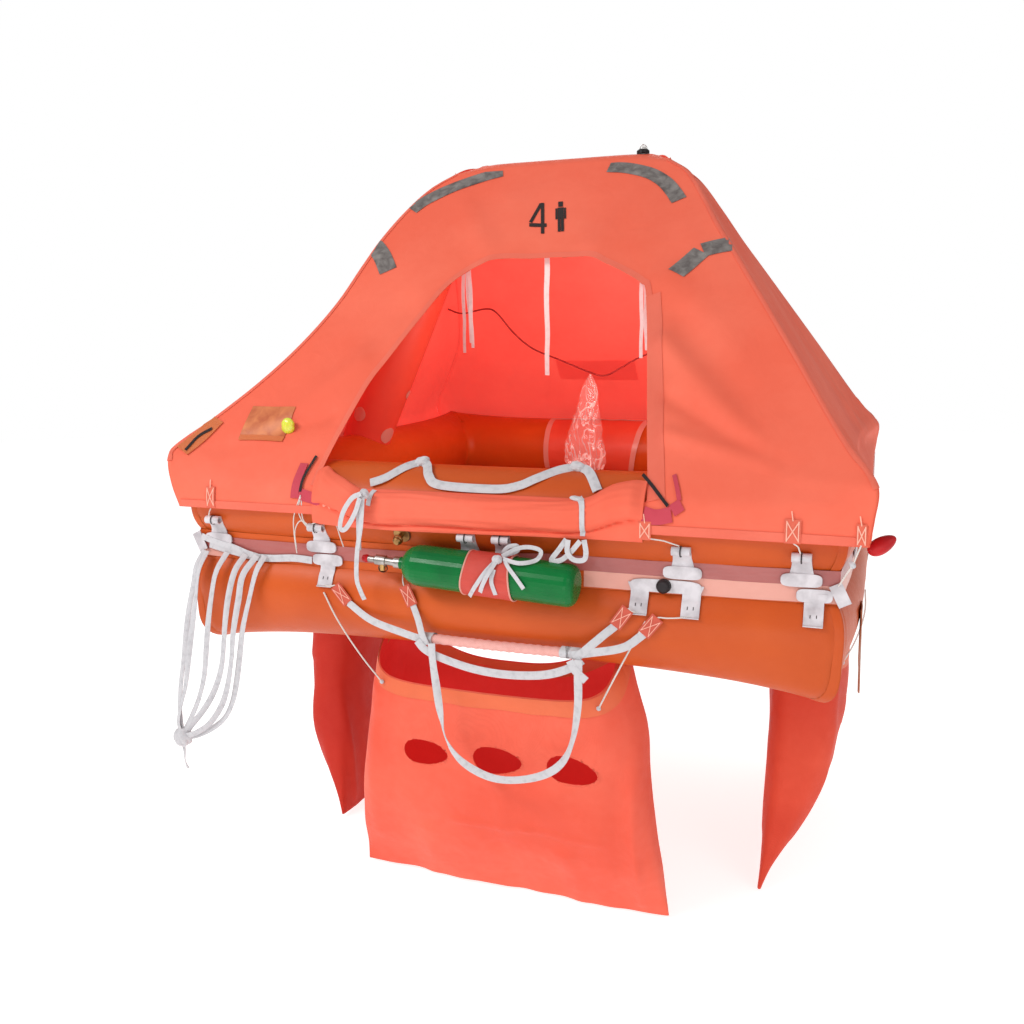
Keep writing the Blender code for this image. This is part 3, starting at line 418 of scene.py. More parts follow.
tube_rubber = cloth_finish("tube_rubber", (203, 86, 27), (183, 70, 17), crinkle=0.6, weave=0.04, smudge=0.7,
    depth=0.003, roughness=(0.34, 0.5), gloss=0.28)
TUBE_AROUND, TUBE_SIDES = 64, 256
for name, upper in (("upper_tube", True), ("lower_tube", False)):
    tube = fresh(name + "_skin", "torus", major_segments=TUBE_SIDES, minor_segments=TUBE_AROUND,
        major_radius=LINE, minor_radius=TUBE_R)
    for vertex in tube.data.vertices:
        x, y, z = vertex.co
        round_raft = atan2(x, -y)
        side = round(round_raft / (pi / 2)) % 4
        p = tan(round_raft - round(round_raft / (pi / 2)) * pi / 2)
        turn = atan2(z, hypot(x, y) - LINE)
        ripple = 0.0012 * noise_at(x * 7, y * 7, turn * 1.3)
        vertex.co = tube_point(upper, side, p, turn, ripple)
    tube.data.materials.append(tube_rubber)
    bpy.ops.object.shade_smooth()
    settle(tube, "tube_cloth", name)


def grid(name, columns, rows, place, size, skin, thickness=0.0, outward=None):
    """A cloth grid. place(s, t) lays its points, and size is its real width and length."""
    cloth = fresh(name, "grid", x_subdivisions=columns, y_subdivisions=rows, size=2.0)
    for vertex in cloth.data.vertices:
        vertex.co = place((vertex.co.x + 1) / 2, (vertex.co.y + 1) / 2)
    for corner in cloth.data.uv_layers.active.data:
        corner.uv = (corner.uv[0] * size[0], corner.uv[1] * size[1])
    cloth.data.materials.append(skin)
    if outward is not None:
        cloth.data.update()
        middle = cloth.data.polygons[len(cloth.data.polygons) // 2 + columns // 2]
        facing = outward(middle.center) if callable(outward) else Vector(outward)
        if middle.normal.dot(facing) < 0:
            cloth.data.flip_normals()
    bpy.ops.object.shade_smooth()
    if thickness:
        thicken(cloth, thickness)
    return cloth


def thicken(cloth, thickness, offset=1.0):
    """Gives a sheet its thickness, on the side that its faces point to."""
    bpy.context.view_layer.objects.active = cloth
    shell = cloth.modifiers.new("thickness", "SOLIDIFY")
    shell.thickness = thickness
    shell.offset = offset
    bpy.ops.object.modifier_apply(modifier=shell.name)
    bpy.ops.object.shade_smooth_by_angle(angle=radians(50))


def joined(name, pieces):
    """Several meshes as one piece."""
    bpy.ops.object.select_all(action="DESELECT")
    for piece in pieces:
        piece.select_set(True)
    bpy.context.view_layer.objects.active = pieces[0]
    if len(pieces) > 1:
        bpy.ops.object.join()
    pieces[0].name = name
    return pieces[0]


def outward_of(point):
    return Vector((point.x, point.y, point.z - raised(0.0)))


# Tapes glued over the mitres, at the eight corners.
MITRE_HALF = 0.021
tapes = []
for upper in (True, False):
    for side in range(4):
        def on_mitre(s, t, side=side, upper=upper):
            across = 2 * s - 1
            turn = radians(-118 + 236 * t)
            p = 1 - abs(across) * MITRE_HALF / LINE
            lift = 0.0016 * (1 - across ** 4)
            if across <= 0:
                return tube_point(upper, side, p, turn, lift)
            return tube_point(upper, (side + 1) % 4, -p, turn, lift)
        tapes.append(grid("mitre_tape", 10, 60, on_mitre, (0.042, 0.5), tube_rubber))
settle(joined("mitre_tapes", tapes), "tube_cloth")


# Arch and floor.
# The arch is a third tube of the same cloth that stands on the upper tube and carries the
# canopy. The floor is a cloth let in between the lower tube's sides, sagging in the middle.

ARCH_R = 0.085
ARCH_TOP = 1.047
ARCH_LEAN = -0.05
ARCH_FLAT = 0.25
ARCH_SHOULDER = 0.48
ARCH_CLEAR = 0.005


def smooth_route(points, steps):
    """Points along a smooth curve through the given ones."""
    points = [Vector(p) for p in points]
    ends = [2 * points[0] - points[1]] + points + [2 * points[-1] - points[-2]]
    route = []
    for a, b, c, d in zip(ends, ends[1:], ends[2:], ends[3:]):
        for k in range(steps):
            t = k / steps
            route.append(0.5 * ((2 * b) + (c - a) * t + (2 * a - 5 * b + 4 * c - d) * t * t
                + (3 * b - a - 3 * c + d) * t ** 3))
    route.append(points[-1])
    return route


def on_route(route, t):
    """The point and the direction of a route, a share t of the way along its points."""
    spot = t * (len(route) - 1)
    i = min(int(spot), len(route) - 2)
    before, after = route[max(i - 1, 0)], route[min(i + 2, len(route) - 1)]
    here, there = route[i + 1] - before, after - route[i]
    along = here.normalized().lerp(there.normalized(), spot - i)
    return route[i].lerp(route[i + 1], spot - i), along.normalized()


def arch_route(corner_steps):
    """The arch's centre line in x and z, from the left foot to the right foot."""
    legs = []
    for side in (-1, 1):
        foot = Vector((side * LINE, 0.21))
        knee = Vector((ARCH_LEAN + side * ARCH_SHOULDER, 0.82))
        flat = Vector((ARCH_LEAN + side * ARCH_FLAT, ARCH_TOP))
        rise = (knee - foot).normalized()
        corner = knee + rise * (ARCH_TOP - knee.y) / rise.y
        leg = [foot.lerp(knee, k / 8) for k in range(9)]
        for k in range(1, corner_steps + 1):
            t = k / corner_steps
            leg.append((1 - t) ** 2 * knee + 2 * t * (1 - t) * corner + t * t * flat)
        legs.append(leg)
    return legs[0] + legs[1][::-1]


ARCH_ROUTE = arch_route(14)


def arch_normal(i):
    """Unit vector in x and z that points out of the arch at one point of its line."""
    along = ARCH_ROUTE[min(i + 1, len(ARCH_ROUTE) - 1)] - ARCH_ROUTE[max(i - 1, 0)]
    along.normalize()
    return Vector((-along.y, along.x))


def on_arch(s, t, lift=0.0):
    spot = t * (len(ARCH_ROUTE) - 1)
    i = min(int(spot), len(ARCH_ROUTE) - 2)
    middle = ARCH_ROUTE[i].lerp(ARCH_ROUTE[i + 1], spot - i)
    out = arch_normal(i).lerp(arch_normal(i + 1), spot - i).normalized()
    r = ARCH_R + lift + 0.001 * noise_at(s * 4, t * 14, 1.0)
    spread = middle + out * r * cos(2 * pi * s)
    return placed(spread.x, r * sin(2 * pi * s), spread.y)


# The arch's rubber is painted redder than the tubes' and made to glow faintly: painted red light inside the canopy.
arch_rubber = cloth_finish("arch_rubber", (228, 86, 62), (206, 66, 48), crinkle=0.6, weave=0.04, smudge=0.7,
    depth=0.003, roughness=(0.34, 0.5), gloss=0.28, Emission_Color=paint(190, 46, 44),
    Emission_Strength=0.14)
settle(grid("arch_skin", 48, 160, on_arch, (0.53, 3.2), arch_rubber, outward=lambda p: Vector((0, p.y, 0))),
    "tube_cloth", "arch_tube")

FLOOR_Z = -0.203
FLOOR_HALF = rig.box("floor_sheet")[1].x


def on_floor(s, t):
    x, y = FLOOR_HALF * (2 * s - 1), FLOOR_HALF * (2 * t - 1)
    sag = 0.03 * (1 - (2 * s - 1) ** 2) * (1 - (2 * t - 1) ** 2)
    ripple = 0.004 * noise_at(x * 5, y * 5, 3.0)
    return placed(x, y, FLOOR_Z - sag + ripple * min(1.0, sag / 0.01))


floor_cloth = settle(grid("floor_cloth", 80, 80, on_floor, (1.38, 1.38), tube_rubber, 0.003, (0, 0, -1)),
    "tube_cloth", "floor_sheet")
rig.sheet(floor_cloth, flat=(1.38, 1.38), held="stretched", rests_on=["lower_tube"])


# Canopy.
# Four panels of light coated cloth, sewn at the corners, drawn over the arch and tied down
# round the upper tube. The entrance is cut in the front and edged with a folded hem.

CLOTH = 0.0024
CLEAR = 0.0018


def milli(rows):
    """Rows of numbers that are given in thousandths, such as millimetres."""
    if isinstance(rows, tuple):
        return tuple(milli(row) for row in rows)
    return rows / 1000 if isinstance(rows, (int, float)) else rows


LEFT_RAIL = milli(((112, -895, -925), (175, -908, -937), (238, -926, -925), (272, -930, -895),
    (344, -867, -800), (450, -770, -690), (557, -690, -590), (677, -634, -470), (800, -597, -360),
    (885, -572, -280), (984, -525, -185), (1060, -468, -112), (1105, -402, -69)))
RIGHT_RAIL = milli(((112, 930, -930), (175, 938, -938), (238, 943, -922), (272, 922, -880), (333, 867, -805),
    (548, 721, -598), (789, 554, -370), (885, 487, -283), (977, 428, -190), (1060, 368, -112),
    (1105, 302, -69)))
CREST = ARCH_TOP + ARCH_R + ARCH_CLEAR
PANEL_LOW, PANEL_HIGH = 0.112, 1.105


def clamp(value):
    return max(0.0, min(1.0, value))


def curve_at(rows, place):
    """Reads rows of (place, value, value) on a smooth curve through them."""
    last = len(rows) - 1
    k = 0
    while k < last - 1 and rows[k + 1][0] <= place:
        k += 1
    low, high = rows[k], rows[k + 1]
    before, after = rows[max(k - 1, 0)], rows[min(k + 2, last)]
    span = high[0] - low[0]
    t = clamp((place - low[0]) / span)
    found = []
    for n in range(1, len(low)):
        slope_low = (high[n] - before[n]) / (high[0] - before[0]) * span
        slope_high = (after[n] - low[n]) / (after[0] - low[0]) * span
        found.append(low[n] * (1 + 2 * t) * (1 - t) ** 2 + slope_low * t * (1 - t) ** 2
            + high[n] * t * t * (3 - 2 * t) + slope_high * t * t * (t - 1))
    return found


def eased(low, high, value):
    t = clamp((value - low) / (high - low))
    return t * t * (3 - 2 * t)


def tube_side(z):
    """Outer face of the upper tube half-way along a side, with room for the cloth."""
    rise = z - TUBE_Z
    r = TUBE_R + CLEAR
    return LINE + (sqrt(r * r - rise * rise) if abs(rise) < r else 0.0)


def front_tangent():
    """Where the cloth leaves the tube, and where it meets the arch, in depth and height."""
    r = TUBE_R + CLEAR
    top = Vector((-0.06, 1.115))
    middle = Vector((-LINE, TUBE_Z))
    span = (top - middle).length
    lean = acos((top - middle).x / span) + acos(r / span)
    return middle + Vector((cos(lean), sin(lean))) * r, top


TOUCH, TOP = front_tangent()


def front_depth(z):
    """y of the canopy's front in the middle: round the tube, then straight to the arch."""
    if z <= TOUCH.y:
        return -tube_side(z)
    if z <= TOP.y:
        return TOUCH.x + (TOP.x - TOUCH.x) * (z - TOUCH.y) / (TOP.y - TOUCH.y)
    return TOP.x * (CREST - z) / (CREST - TOP.y)


def front_y(x, z):
    left, left_y = curve_at(LEFT_RAIL, z)
    right, right_y = curve_at(RIGHT_RAIL, z)
    q = clamp((x - left) / (right - left))
    power = 8 - 4 * eased(0.26, 0.36, z)
    edge = left_y if q < 0.5 else right_y
    return front_depth(z) + (edge - front_depth(z)) * abs(2 * q - 1) ** power


def off_tube(x, y, z, lift):
    """Moves a point of the cloth out of the upper tube."""
    out, along = (abs(y), x) if abs(y) >= abs(x) else (abs(x), y)
    u = out - LINE
    rise = z - TUBE_Z
    r = hypot(u, rise)
    if r < 1e-6 or out < LINE - TUBE_R:
        return placed(x, y, z)
    turn = acos(max(-1.0, min(1.0, u / r))) * (1 if rise >= 0 else -1)
    least = tube_radius(True, min(1.0, abs(along) / max(out, 0.01)), turn) + CLEAR + lift
    if r >= least:
        return placed(x, y, z)
    new_out = LINE + u * least / r
    new_z = raised(TUBE_Z + rise * least / r)
    if abs(y) >= abs(x):
        return Vector((x, new_out * (1 if y > 0 else -1), new_z))
    return Vector((new_out * (1 if x > 0 else -1), y, new_z))


# Soft folds: each row is the two ends of a crease's line, its width, and its height.
FRONT_FOLDS = milli(((400, 550, 700, 290, 30, 10), (440, 420, 740, 270, 22, -8),
    (430, 620, 620, 440, 40, -7), (460, 330, 800, 245, 20, 7), (380, 720, 500, 620, 45, 6),
    (360, 1060, 450, 980, 18, 5), (-470, 500, -700, 300, 40, 7), (-500, 360, -820, 260, 24, -6),
    (-400, 660, -560, 500, 45, -6), (-500, 1020, -400, 1080, 22, 5), (-200, 840, -340, 1020, 40, 5),
    (140, 830, 260, 1040, 40, 5), (-50, 830, -20, 1050, 50, -4), (520, 230, 600, 130, 16, 3),
    (660, 240, 700, 130, 14, 3), (-600, 230, -660, 130, 14, 3)))
SIDE_FOLDS = milli(((-800, 260, -550, 600, 50, 9), (-620, 240, -350, 620, 45, -8),
    (-400, 240, -220, 750, 50, 8), (800, 260, 550, 600, 50, 9), (620, 240, 350, 620, 45, -8),
    (400, 240, 220, 750, 50, 8), (-860, 270, -720, 340, 16, 6), (860, 270, 720, 340, 16, 6)))


def fold_height(a, b, folds):
    """How far folds and slack lift the cloth at a place of its own two coordinates."""
    lift = 0.0
    for a0, b0, a1, b1, width, height in folds:
        da, db = a1 - a0, b1 - b0
        t = ((a - a0) * da + (b - b0) * db) / (da * da + db * db)
        if -0.4 < t < 1.4:
            held = clamp(t)
            off = hypot(a - a0 - da * held, b - b0 - db * held) / width
            if off < 2.6:
                lift += 1.5 * height * exp(-off * off) * (1 - 0.5 * held)
    lift += 0.006 * noise_at(a * 3.2, b * 3.2, 7.0)
    lift += 0.0026 * noise_at(a * 9 + b * 4, b * 6, 2.0)
    return lift


def loose(z):
    """How freely the cloth can fold: not at all where it lies on the tube or on the arch."""
    return eased(0.19, 0.34, z) * (1 - eased(0.98, 1.1, z))


def front_at(x, z, lift=0.0, back=False):
    """A point of the front or back panel, with lift counted out from its inner face."""
    h = 0.004
    y = front_y(x, z)
    slope_x = (front_y(x + h, z) - front_y(x - h, z)) / (2 * h)
    slope_z = (front_y(x, z + h) - front_y(x, z - h)) / (2 * h)
    out = Vector((slope_x, -1.0, slope_z)).normalized()
    edge = curve_at(LEFT_RAIL if x < 0 else RIGHT_RAIL, z)[0]
    still = eased(0.0, 0.1, abs(edge - x))
    folds = fold_height(x + (4.0 if back else 0.0), z, () if back else FRONT_FOLDS)
    if back:
        folds += fold_height(abs(x), z, SIDE_FOLDS[3:6])
    raise_by = lift + folds * loose(z) * still
    at = Vector((x, y, z)) + out * raise_by
    if z < 0.3:
        held = off_tube(at.x, at.y, at.z, lift)
    else:
        held = placed(at.x, at.y, at.z)
    if back:
        held.y = -held.y
    return held


CREST_REACH, CREST_AWAY, CREST_DROP = 0.055, 0.04, 0.0075


def front_place(q, v, back=False):
    """A point of the front panel: q across it, and v from the skirt to the crest."""
    share = 0.94
    if v <= share:
        z = PANEL_LOW + (PANEL_HIGH - PANEL_LOW) * v / share
        left, right = curve_at(LEFT_RAIL, z)[0], curve_at(RIGHT_RAIL, z)[0]
        return front_at(left + (right - left) * q, z, 0.0, back)
    t = (v - share) / (1 - share)
    left, right = curve_at(LEFT_RAIL, PANEL_HIGH)[0], curve_at(RIGHT_RAIL, PANEL_HIGH)[0]
    low = front_at(left + (right - left) * q, PANEL_HIGH, 0.0, back)
    turn = 1 if back else -1
    reach = ARCH_FLAT + CREST_REACH
    narrow = 1 - 0.96 * abs(2 * q - 1) ** 8
    near = placed(ARCH_LEAN + reach * (2 * q - 1), turn * CREST_AWAY * narrow, CREST - CREST_DROP)
    high = placed(ARCH_LEAN + ARCH_FLAT * (2 * q - 1), turn * 0.0006, CREST)
    return (low * (1 - t) * (1 - 2 * t) + near * 4 * t * (1 - t) + high * t * (2 * t - 1))


def arch_side(side, z):
    """How far out the canopy stands over the arch's leg at a height."""
    best = 0.0
    for i in range(len(ARCH_ROUTE) - 1):
        if (ARCH_ROUTE[i].x - ARCH_LEAN) * side <= 0:
            continue
        here = ARCH_ROUTE[i] + arch_normal(i) * (ARCH_R + ARCH_CLEAR)
        there = ARCH_ROUTE[i + 1] + arch_normal(i + 1) * (ARCH_R + ARCH_CLEAR)
        low, high = sorted((here, there), key=lambda v: v.y)
        if low.y <= z <= high.y and high.y > low.y:
            found = low.x + (high.x - low.x) * (z - low.y) / (high.y - low.y)
            if abs(found) > abs(best):
                best = found
    return best


SIDE_HEIGHTS = [PANEL_LOW + (PANEL_HIGH - PANEL_LOW) * k / 60 for k in range(61)]


def side_table(side):
    """Heights and reach of the side panel's middle: over the tube, then over the arch."""
    rows = []
    low, high = TUBE_Z + 0.06, 0.29
    for z in SIDE_HEIGHTS:
        if z <= low:
            reach = tube_side(z)
        elif z >= high:
            reach = abs(arch_side(side, z))
        else:
            share = (z - low) / (high - low)
            blend = tube_side(low) * (1 - share) + abs(arch_side(side, high)) * share
            reach = max(blend, abs(arch_side(side, z)))
        rows.append((z, side * reach))
    return rows


SIDE_MIDDLE = {-1: side_table(-1), 1: side_table(1)}


def side_at(side, q, z, lift=0.0):
    """A point of a side panel: q from -1 at the front to 1 at the back, at a height."""
    corner_x, corner_y = curve_at(LEFT_RAIL if side < 0 else RIGHT_RAIL, z)
    middle = curve_at(SIDE_MIDDLE[side], z)[0]
    power = 8 - 6 * eased(0.17, 0.24, z) - eased(0.28, 0.36, z)
    slack = 1 - abs(q) ** power
    x = corner_x + (middle - corner_x) * slack
    y = -corner_y * q
    between = 1 - eased(0.0, 0.12, abs(abs(q) - 0.5) - 0.36)
    folds = fold_height(y, z, SIDE_FOLDS) * loose(z) * between
    hollow = -0.012 * loose(z) * sin(pi * min(1.0, abs(q))) ** 2
    rise = 0.45 * eased(0.2, 0.3, z)
    out = Vector((side * cos(rise), 0.0, sin(rise)))
    at = Vector((x, y, z)) + out * (lift + folds + hollow)
    if z < 0.3:
        return off_tube(at.x, at.y, at.z, lift)
    return placed(at.x, at.y, at.z)


def side_place(side, q, v):
    share = 0.96
    if v <= share:
        return side_at(side, q, PANEL_LOW + (PANEL_HIGH - PANEL_LOW) * v / share)
    t = (v - share) / (1 - share)
    low = side_at(side, q, PANEL_HIGH)
    tip = placed(ARCH_LEAN + side * (ARCH_FLAT + CREST_REACH), 0.0012 * q, CREST - CREST_DROP)
    over = Vector((0.0, 0.0, 0.006 * sin(pi * t)))
    return low.lerp(tip, t) + over


canopy_cloth = cloth_finish("canopy_cloth", (238, 112, 87), (227, 88, 62), crinkle=1.15, weave=0.05,
    thread=300.0, smudge=0.55, depth=0.004, roughness=(0.55, 0.75), gloss=0.25)
# The inner face is a redder copy of the canopy cloth that glows: painted light coming through the cloth.
inside_cloth_painted_glow = cloth_finish("canopy_inside", (240, 98, 84), (226, 74, 62), crinkle=0.8, weave=0.05,
    thread=300.0, smudge=0.7, depth=0.004, roughness=(0.6, 0.8), gloss=0.2,
    Emission_Color=paint(236, 92, 80), Emission_Strength=0.36)


def two_faced(cloth, thickness, lining=inside_cloth_painted_glow, offset=1.0):
    """Gives a sheet its thickness, and its other face the second material."""
    cloth.data.materials.append(lining)
    bpy.context.view_layer.objects.active = cloth
    shell = cloth.modifiers.new("thickness", "SOLIDIFY")
    shell.thickness = thickness
    shell.offset = offset
    shell.material_offset = 1
    bpy.ops.object.modifier_apply(modifier=shell.name)


ENTRANCE = milli(((-462, 185), (-454, 263), (-437, 354), (-416, 450), (-385, 521), (-342, 615), (-300, 703),
    (-262, 748), (-205, 785), (-130, 806), (110, 801), (185, 778), (262, 742), (305, 716), (325, 690),
    (372, 527), (405, 367), (438, 185)))
ENTRANCE_EDGE = smooth_route([(x, z, 0.0) for x, z in ENTRANCE], 6)


def in_entrance(x, z):
    inside = False
    edge = ENTRANCE_EDGE + ENTRANCE_EDGE[:1]
    for a, b in zip(edge, edge[1:]):
        if (a.y > z) != (b.y > z) and x < a.x + (b.x - a.x) * (z - a.y) / (b.y - a.y):
            inside = not inside
    return inside


def nearest_edge(x, z):
    """The nearest point of the entrance's edge, and its distance."""
    best, spot = 1e9, None
    edge = ENTRANCE_EDGE + ENTRANCE_EDGE[:1]
    for a, b in zip(edge, edge[1:]):
        across = b - a
        t = clamp((Vector((x, z, 0.0)) - a).dot(across) / across.length_squared)
        on = a + across * t
        far = hypot(on.x - x, on.y - z)
        if far < best:
            best, spot = far, on
    return spot, best


FRONT_COLUMNS, FRONT_ROWS = 230, 170
canopy_front = grid("canopy_front_cloth", FRONT_COLUMNS, FRONT_ROWS, front_place, (1.86, 1.34), canopy_cloth,
    outward=(0, -1, 0.5))
cell = 0.0062
mesh_work = bmesh.new()
mesh_work.from_mesh(canopy_front.data)
mesh_work.verts.ensure_lookup_table()
low_x, high_x = ENTRANCE[0][0] - 0.02, ENTRANCE[-1][0] + 0.02
inner = set()
for vertex in mesh_work.verts:
    x, z = vertex.co.x, vertex.co.z - SEAM
    if low_x < x < high_x and 0.17 < z < 0.83:
        spot, far = nearest_edge(x, z)
        if far < cell * 0.62:
            vertex.co = front_at(spot.x, spot.y)
        elif in_entrance(x, z):
            inner.add(vertex.index)
doomed = [v for v in mesh_work.verts if v.index in inner]
bmesh.ops.delete(mesh_work, geom=doomed, context="VERTS")
mesh_work.to_mesh(canopy_front.data)
mesh_work.free()
two_faced(canopy_front, CLOTH)
canopy_back = grid("canopy_back_cloth", 120, 110, lambda s, t: front_place(s, t, True), (1.86, 1.34),
    canopy_cloth, outward=(0, 1, 0.5))
two_faced(canopy_back, CLOTH)
canopy_sides = []
for side, label in ((-1, "left"), (1, "right")):
    panel = grid("canopy_%s_cloth" % label, 150, 130, lambda s, t, side=side: side_place(side, 2 * s - 1, t),
        (1.86, 1.3), canopy_cloth, outward=(side, 0, 0.5))
    two_faced(panel, CLOTH)
    canopy_sides.append(panel)
for panel, label, area in ((canopy_front, "front", 1.35), (canopy_back, "back", 1.75),
        (canopy_sides[0], "left", 1.35), (canopy_sides[1], "right", 1.35)):
    settle(panel, "canopy_cloth", "canopy_" + label)
    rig.sheet(panel, flat=(1.9, 1.36), held="stretched", rests_on=["arch_tube", "upper_tube"], area=area)


# Trimmings of the canopy.
# Hems, corner seams and tie patches are sewn on. The reflective tapes are glued, and the
# sign for four people is printed: a number and the figure of a person.

FRONT_SLOPE = 1.36


def strip(name, centre, width, surface, skin, lift, thickness=0.0012, stretch=1.0, shift=0.0, columns=6,
        steps=6, cell=0.007, outward=None, taper=None):
    """A strip of cloth or paint laid on a surface.

    centre is its line in the surface's own two coordinates. stretch is how much longer the
    second one is on the surface. taper(t) gives the share of the width along it.
    """
    route = smooth_route([(a, b * stretch, 0.0) for a, b in centre], steps)
    length = sum((q - p).length for p, q in zip(route, route[1:]))

    def place(s, t):
        point, along = on_route(route, t)
        wide = width * (taper(t) if taper else 1.0)
        at = point + Vector((along.y, -along.x, 0.0)) * wide * (s - 0.5 + shift)
        return surface(at.x, at.y / stretch, lift)

    rows = max(3, int(length / cell))
    return grid(name, columns, rows, place, (width, length), skin, thickness, outward or (0, -1, 0.4))


def on_front(x, z, lift):
    """A point of the canopy's front, which goes on round the corners onto the sides."""
    left, left_y = curve_at(LEFT_RAIL, z)
    right, right_y = curve_at(RIGHT_RAIL, z)
    if x < left:
        return side_at(-1, -1 + (left - x) / -left_y, z, lift)
    if x > right:
        return side_at(1, -1 + (x - right) / -right_y, z, lift)
    return front_at(x, min(z, 1.104), lift)


tree, given, taken = group("woven_webbing", (("Vector", "Vector"), ("Colour", "Color"),
    ("Dirt colour", "Color"), ("Threads", "Float")), (("Colour", "Color"), ("Height", "Float")))
turned = node(tree, "VectorRotate", {"rotation_type": "Z_AXIS"}, Vector=given["Vector"], Angle=radians(45))
other = node(tree, "VectorRotate", {"rotation_type": "Z_AXIS"}, Vector=given["Vector"], Angle=radians(-45))
ribs = [node(tree, "TexWave", Vector=side, Scale=given["Threads"]) for side in (turned, other)]
crossed = node(tree, "Math", {"operation": "MAXIMUM"}, _0=ribs[0].outputs["Fac"], _1=ribs[1].outputs["Fac"])
fuzz = node(tree, "TexNoise", Vector=given["Vector"], Scale=60.0, Detail=4.0)
dirt = node(tree, "MapRange", Value=fuzz, From_Min=0.5, From_Max=1.0)
# Painted shade: the gaps between the threads are darkened towards the second colour, and real dirt spots are mixed in
# on top.
gap_shade = node(tree, "Math", {"operation": "MULTIPLY_ADD", "use_clamp": True}, _0=crossed, _1=-0.28, _2=0.28)
shade = node(tree, "Math", {"operation": "ADD", "use_clamp": True}, _0=gap_shade, _1=dirt)
mixed = node(tree, "MixRGB", Fac=shade, Color1=given["Colour"], Color2=given["Dirt colour"])
feed(tree, taken, Colour=mixed, Height=crossed)
webbing_group = tree


# Its second colour is both the painted shade in the weave's gaps and the colour of real dirt.
def webbing_finish(name, colour, dirt_colour, threads=150.0, source="UV", depth=0.0004):
    made, tree, shader = finish(name, colour, 0.78, gloss=0.25, Sheen_Weight=0.15)
    place = coordinates(tree, source)
    woven = node(tree, "Group", {"node_tree": webbing_group}, Vector=place, Colour=paint(*colour),
        Dirt_colour=paint(*dirt_colour), Threads=threads)
    bump = node(tree, "Bump", Height=woven.outputs["Height"], Strength=0.35, Distance=depth)
    grain = node(tree, "MapRange", Value=woven.outputs["Height"], To_Min=0.88, To_Max=0.7)
    feed(tree, shader, Base_Color=woven.outputs["Colour"], Roughness=grain, Normal=bump)
    return made


def sewn_finish(name, colour, worn, low=0.5, high=0.7, weave=0.4, depth=0.002):
    """Coated cloth that is sewn on in small pieces."""
    return cloth_finish(name, colour, worn, weave=weave, depth=depth, source="UV", roughness=(low, high))


white_web = webbing_finish("white_webbing", (198, 196, 199), (154, 152, 157))
black_web = webbing_finish("black_webbing", (34, 24, 26), (60, 40, 40))
trim_cloth = sewn_finish("trim_cloth", (236, 112, 88), (222, 88, 64), 0.55, 0.75, 0.3)
patch_orange = sewn_finish("patch_orange", (228, 104, 78), (206, 80, 56))
patch_pink = sewn_finish("patch_dark_pink", (204, 60, 80), (180, 44, 60))
black_paint = sewn_finish("black_print", (22, 8, 8), (42, 18, 16), weave=0.5, depth=0.0015)
thread_pale = webbing_finish("pale_thread", (240, 176, 156), (222, 140, 118), 400.0)


def ramp(tree, factor, low, high, start=0.0, stop=1.0):
    """A change of colour from low to high between two places of a factor."""
    made = node(tree, "ValToRGB", Fac=factor)
    ends = made.color_ramp.elements
    ends[0].position, ends[1].position = start, stop
    ends[0].color, ends[1].color = paint(*low), paint(*high)
    return made


reflective, tree, shader = finish("reflective_tape", (122, 116, 112), 0.38, Metallic=0.35)
place = coordinates(tree, "UV")
cells = node(tree, "TexVoronoi", Vector=place, Scale=230.0)
glints = node(tree, "MapRange", Value=cells, From_Max=0.8, To_Min=0.3, To_Max=0.55)
cloudy = node(tree, "TexNoise", Vector=place, Scale=34.0, Detail=5.0, Distortion=0.6)
tones = ramp(tree, cloudy, (92, 84, 82), (150, 144, 140), 0.3, 0.72)
wrinkled = node(tree, "Bump", Height=cloudy, Strength=0.5, Distance=0.003)
feed(tree, shader, Roughness=glints, Base_Color=tones, Normal=wrinkled)

ON_CLOTH = CLOTH + 0.0016
REFLECTORS = milli((("tape_top_left", ((-507, 982), (-475, 1012), (-420, 1043), (-357, 1068), (-290, 1088),
    (-236, 1100))), ("tape_top_right", ((118, 1090), (180, 1082), (250, 1060), (303, 1028), (335, 996),
    (360, 964))), ("tape_low_left", ((-600, 872), (-572, 852), (-540, 822), (-503, 778))),
    ("tape_low_right_1", ((398, 735), (428, 768), (456, 798))), ("tape_low_right_2",
    ((460, 802), (500, 814), (541, 821)))))
for name, centre in REFLECTORS:
    settle(strip(name, centre, 0.046 if "top" in name else 0.056, on_front, reflective, ON_CLOTH, 0.0006,
        FRONT_SLOPE, columns=8), "canopy_cloth")

# Each stroke of the printed sign: its line and its width.
SIGN = milli(((((-50, 981), (-50, 930), (-50, 882)), 10.5), (((-54, 979), (-72, 946), (-87.5, 917)), 10),
    (((-91.5, 909), (-66, 909), (-37.5, 909)), 15), (((8, 983), (8, 966)), 15), (((8, 963), (8, 926)), 20),
    (((-6, 961), (-6, 925)), 6), (((22, 961), (22, 925)), 6), (((2.8, 930), (2.8, 884)), 9),
    (((13.2, 930), (13.2, 884)), 9)))
SIGN_LEAN = -0.3


def on_sign(x, z, lift):
    """The sign's own place on the front, where it stands upright to the eye."""
    return on_front(x + SIGN_LEAN * (z - 0.93), z, lift)


strokes = [strip("stroke", centre, width, on_sign, black_paint, ON_CLOTH, 0.0004, FRONT_SLOPE, steps=3)
    for centre, width in SIGN]
settle(joined("people_sign", strokes), "canopy_cloth")

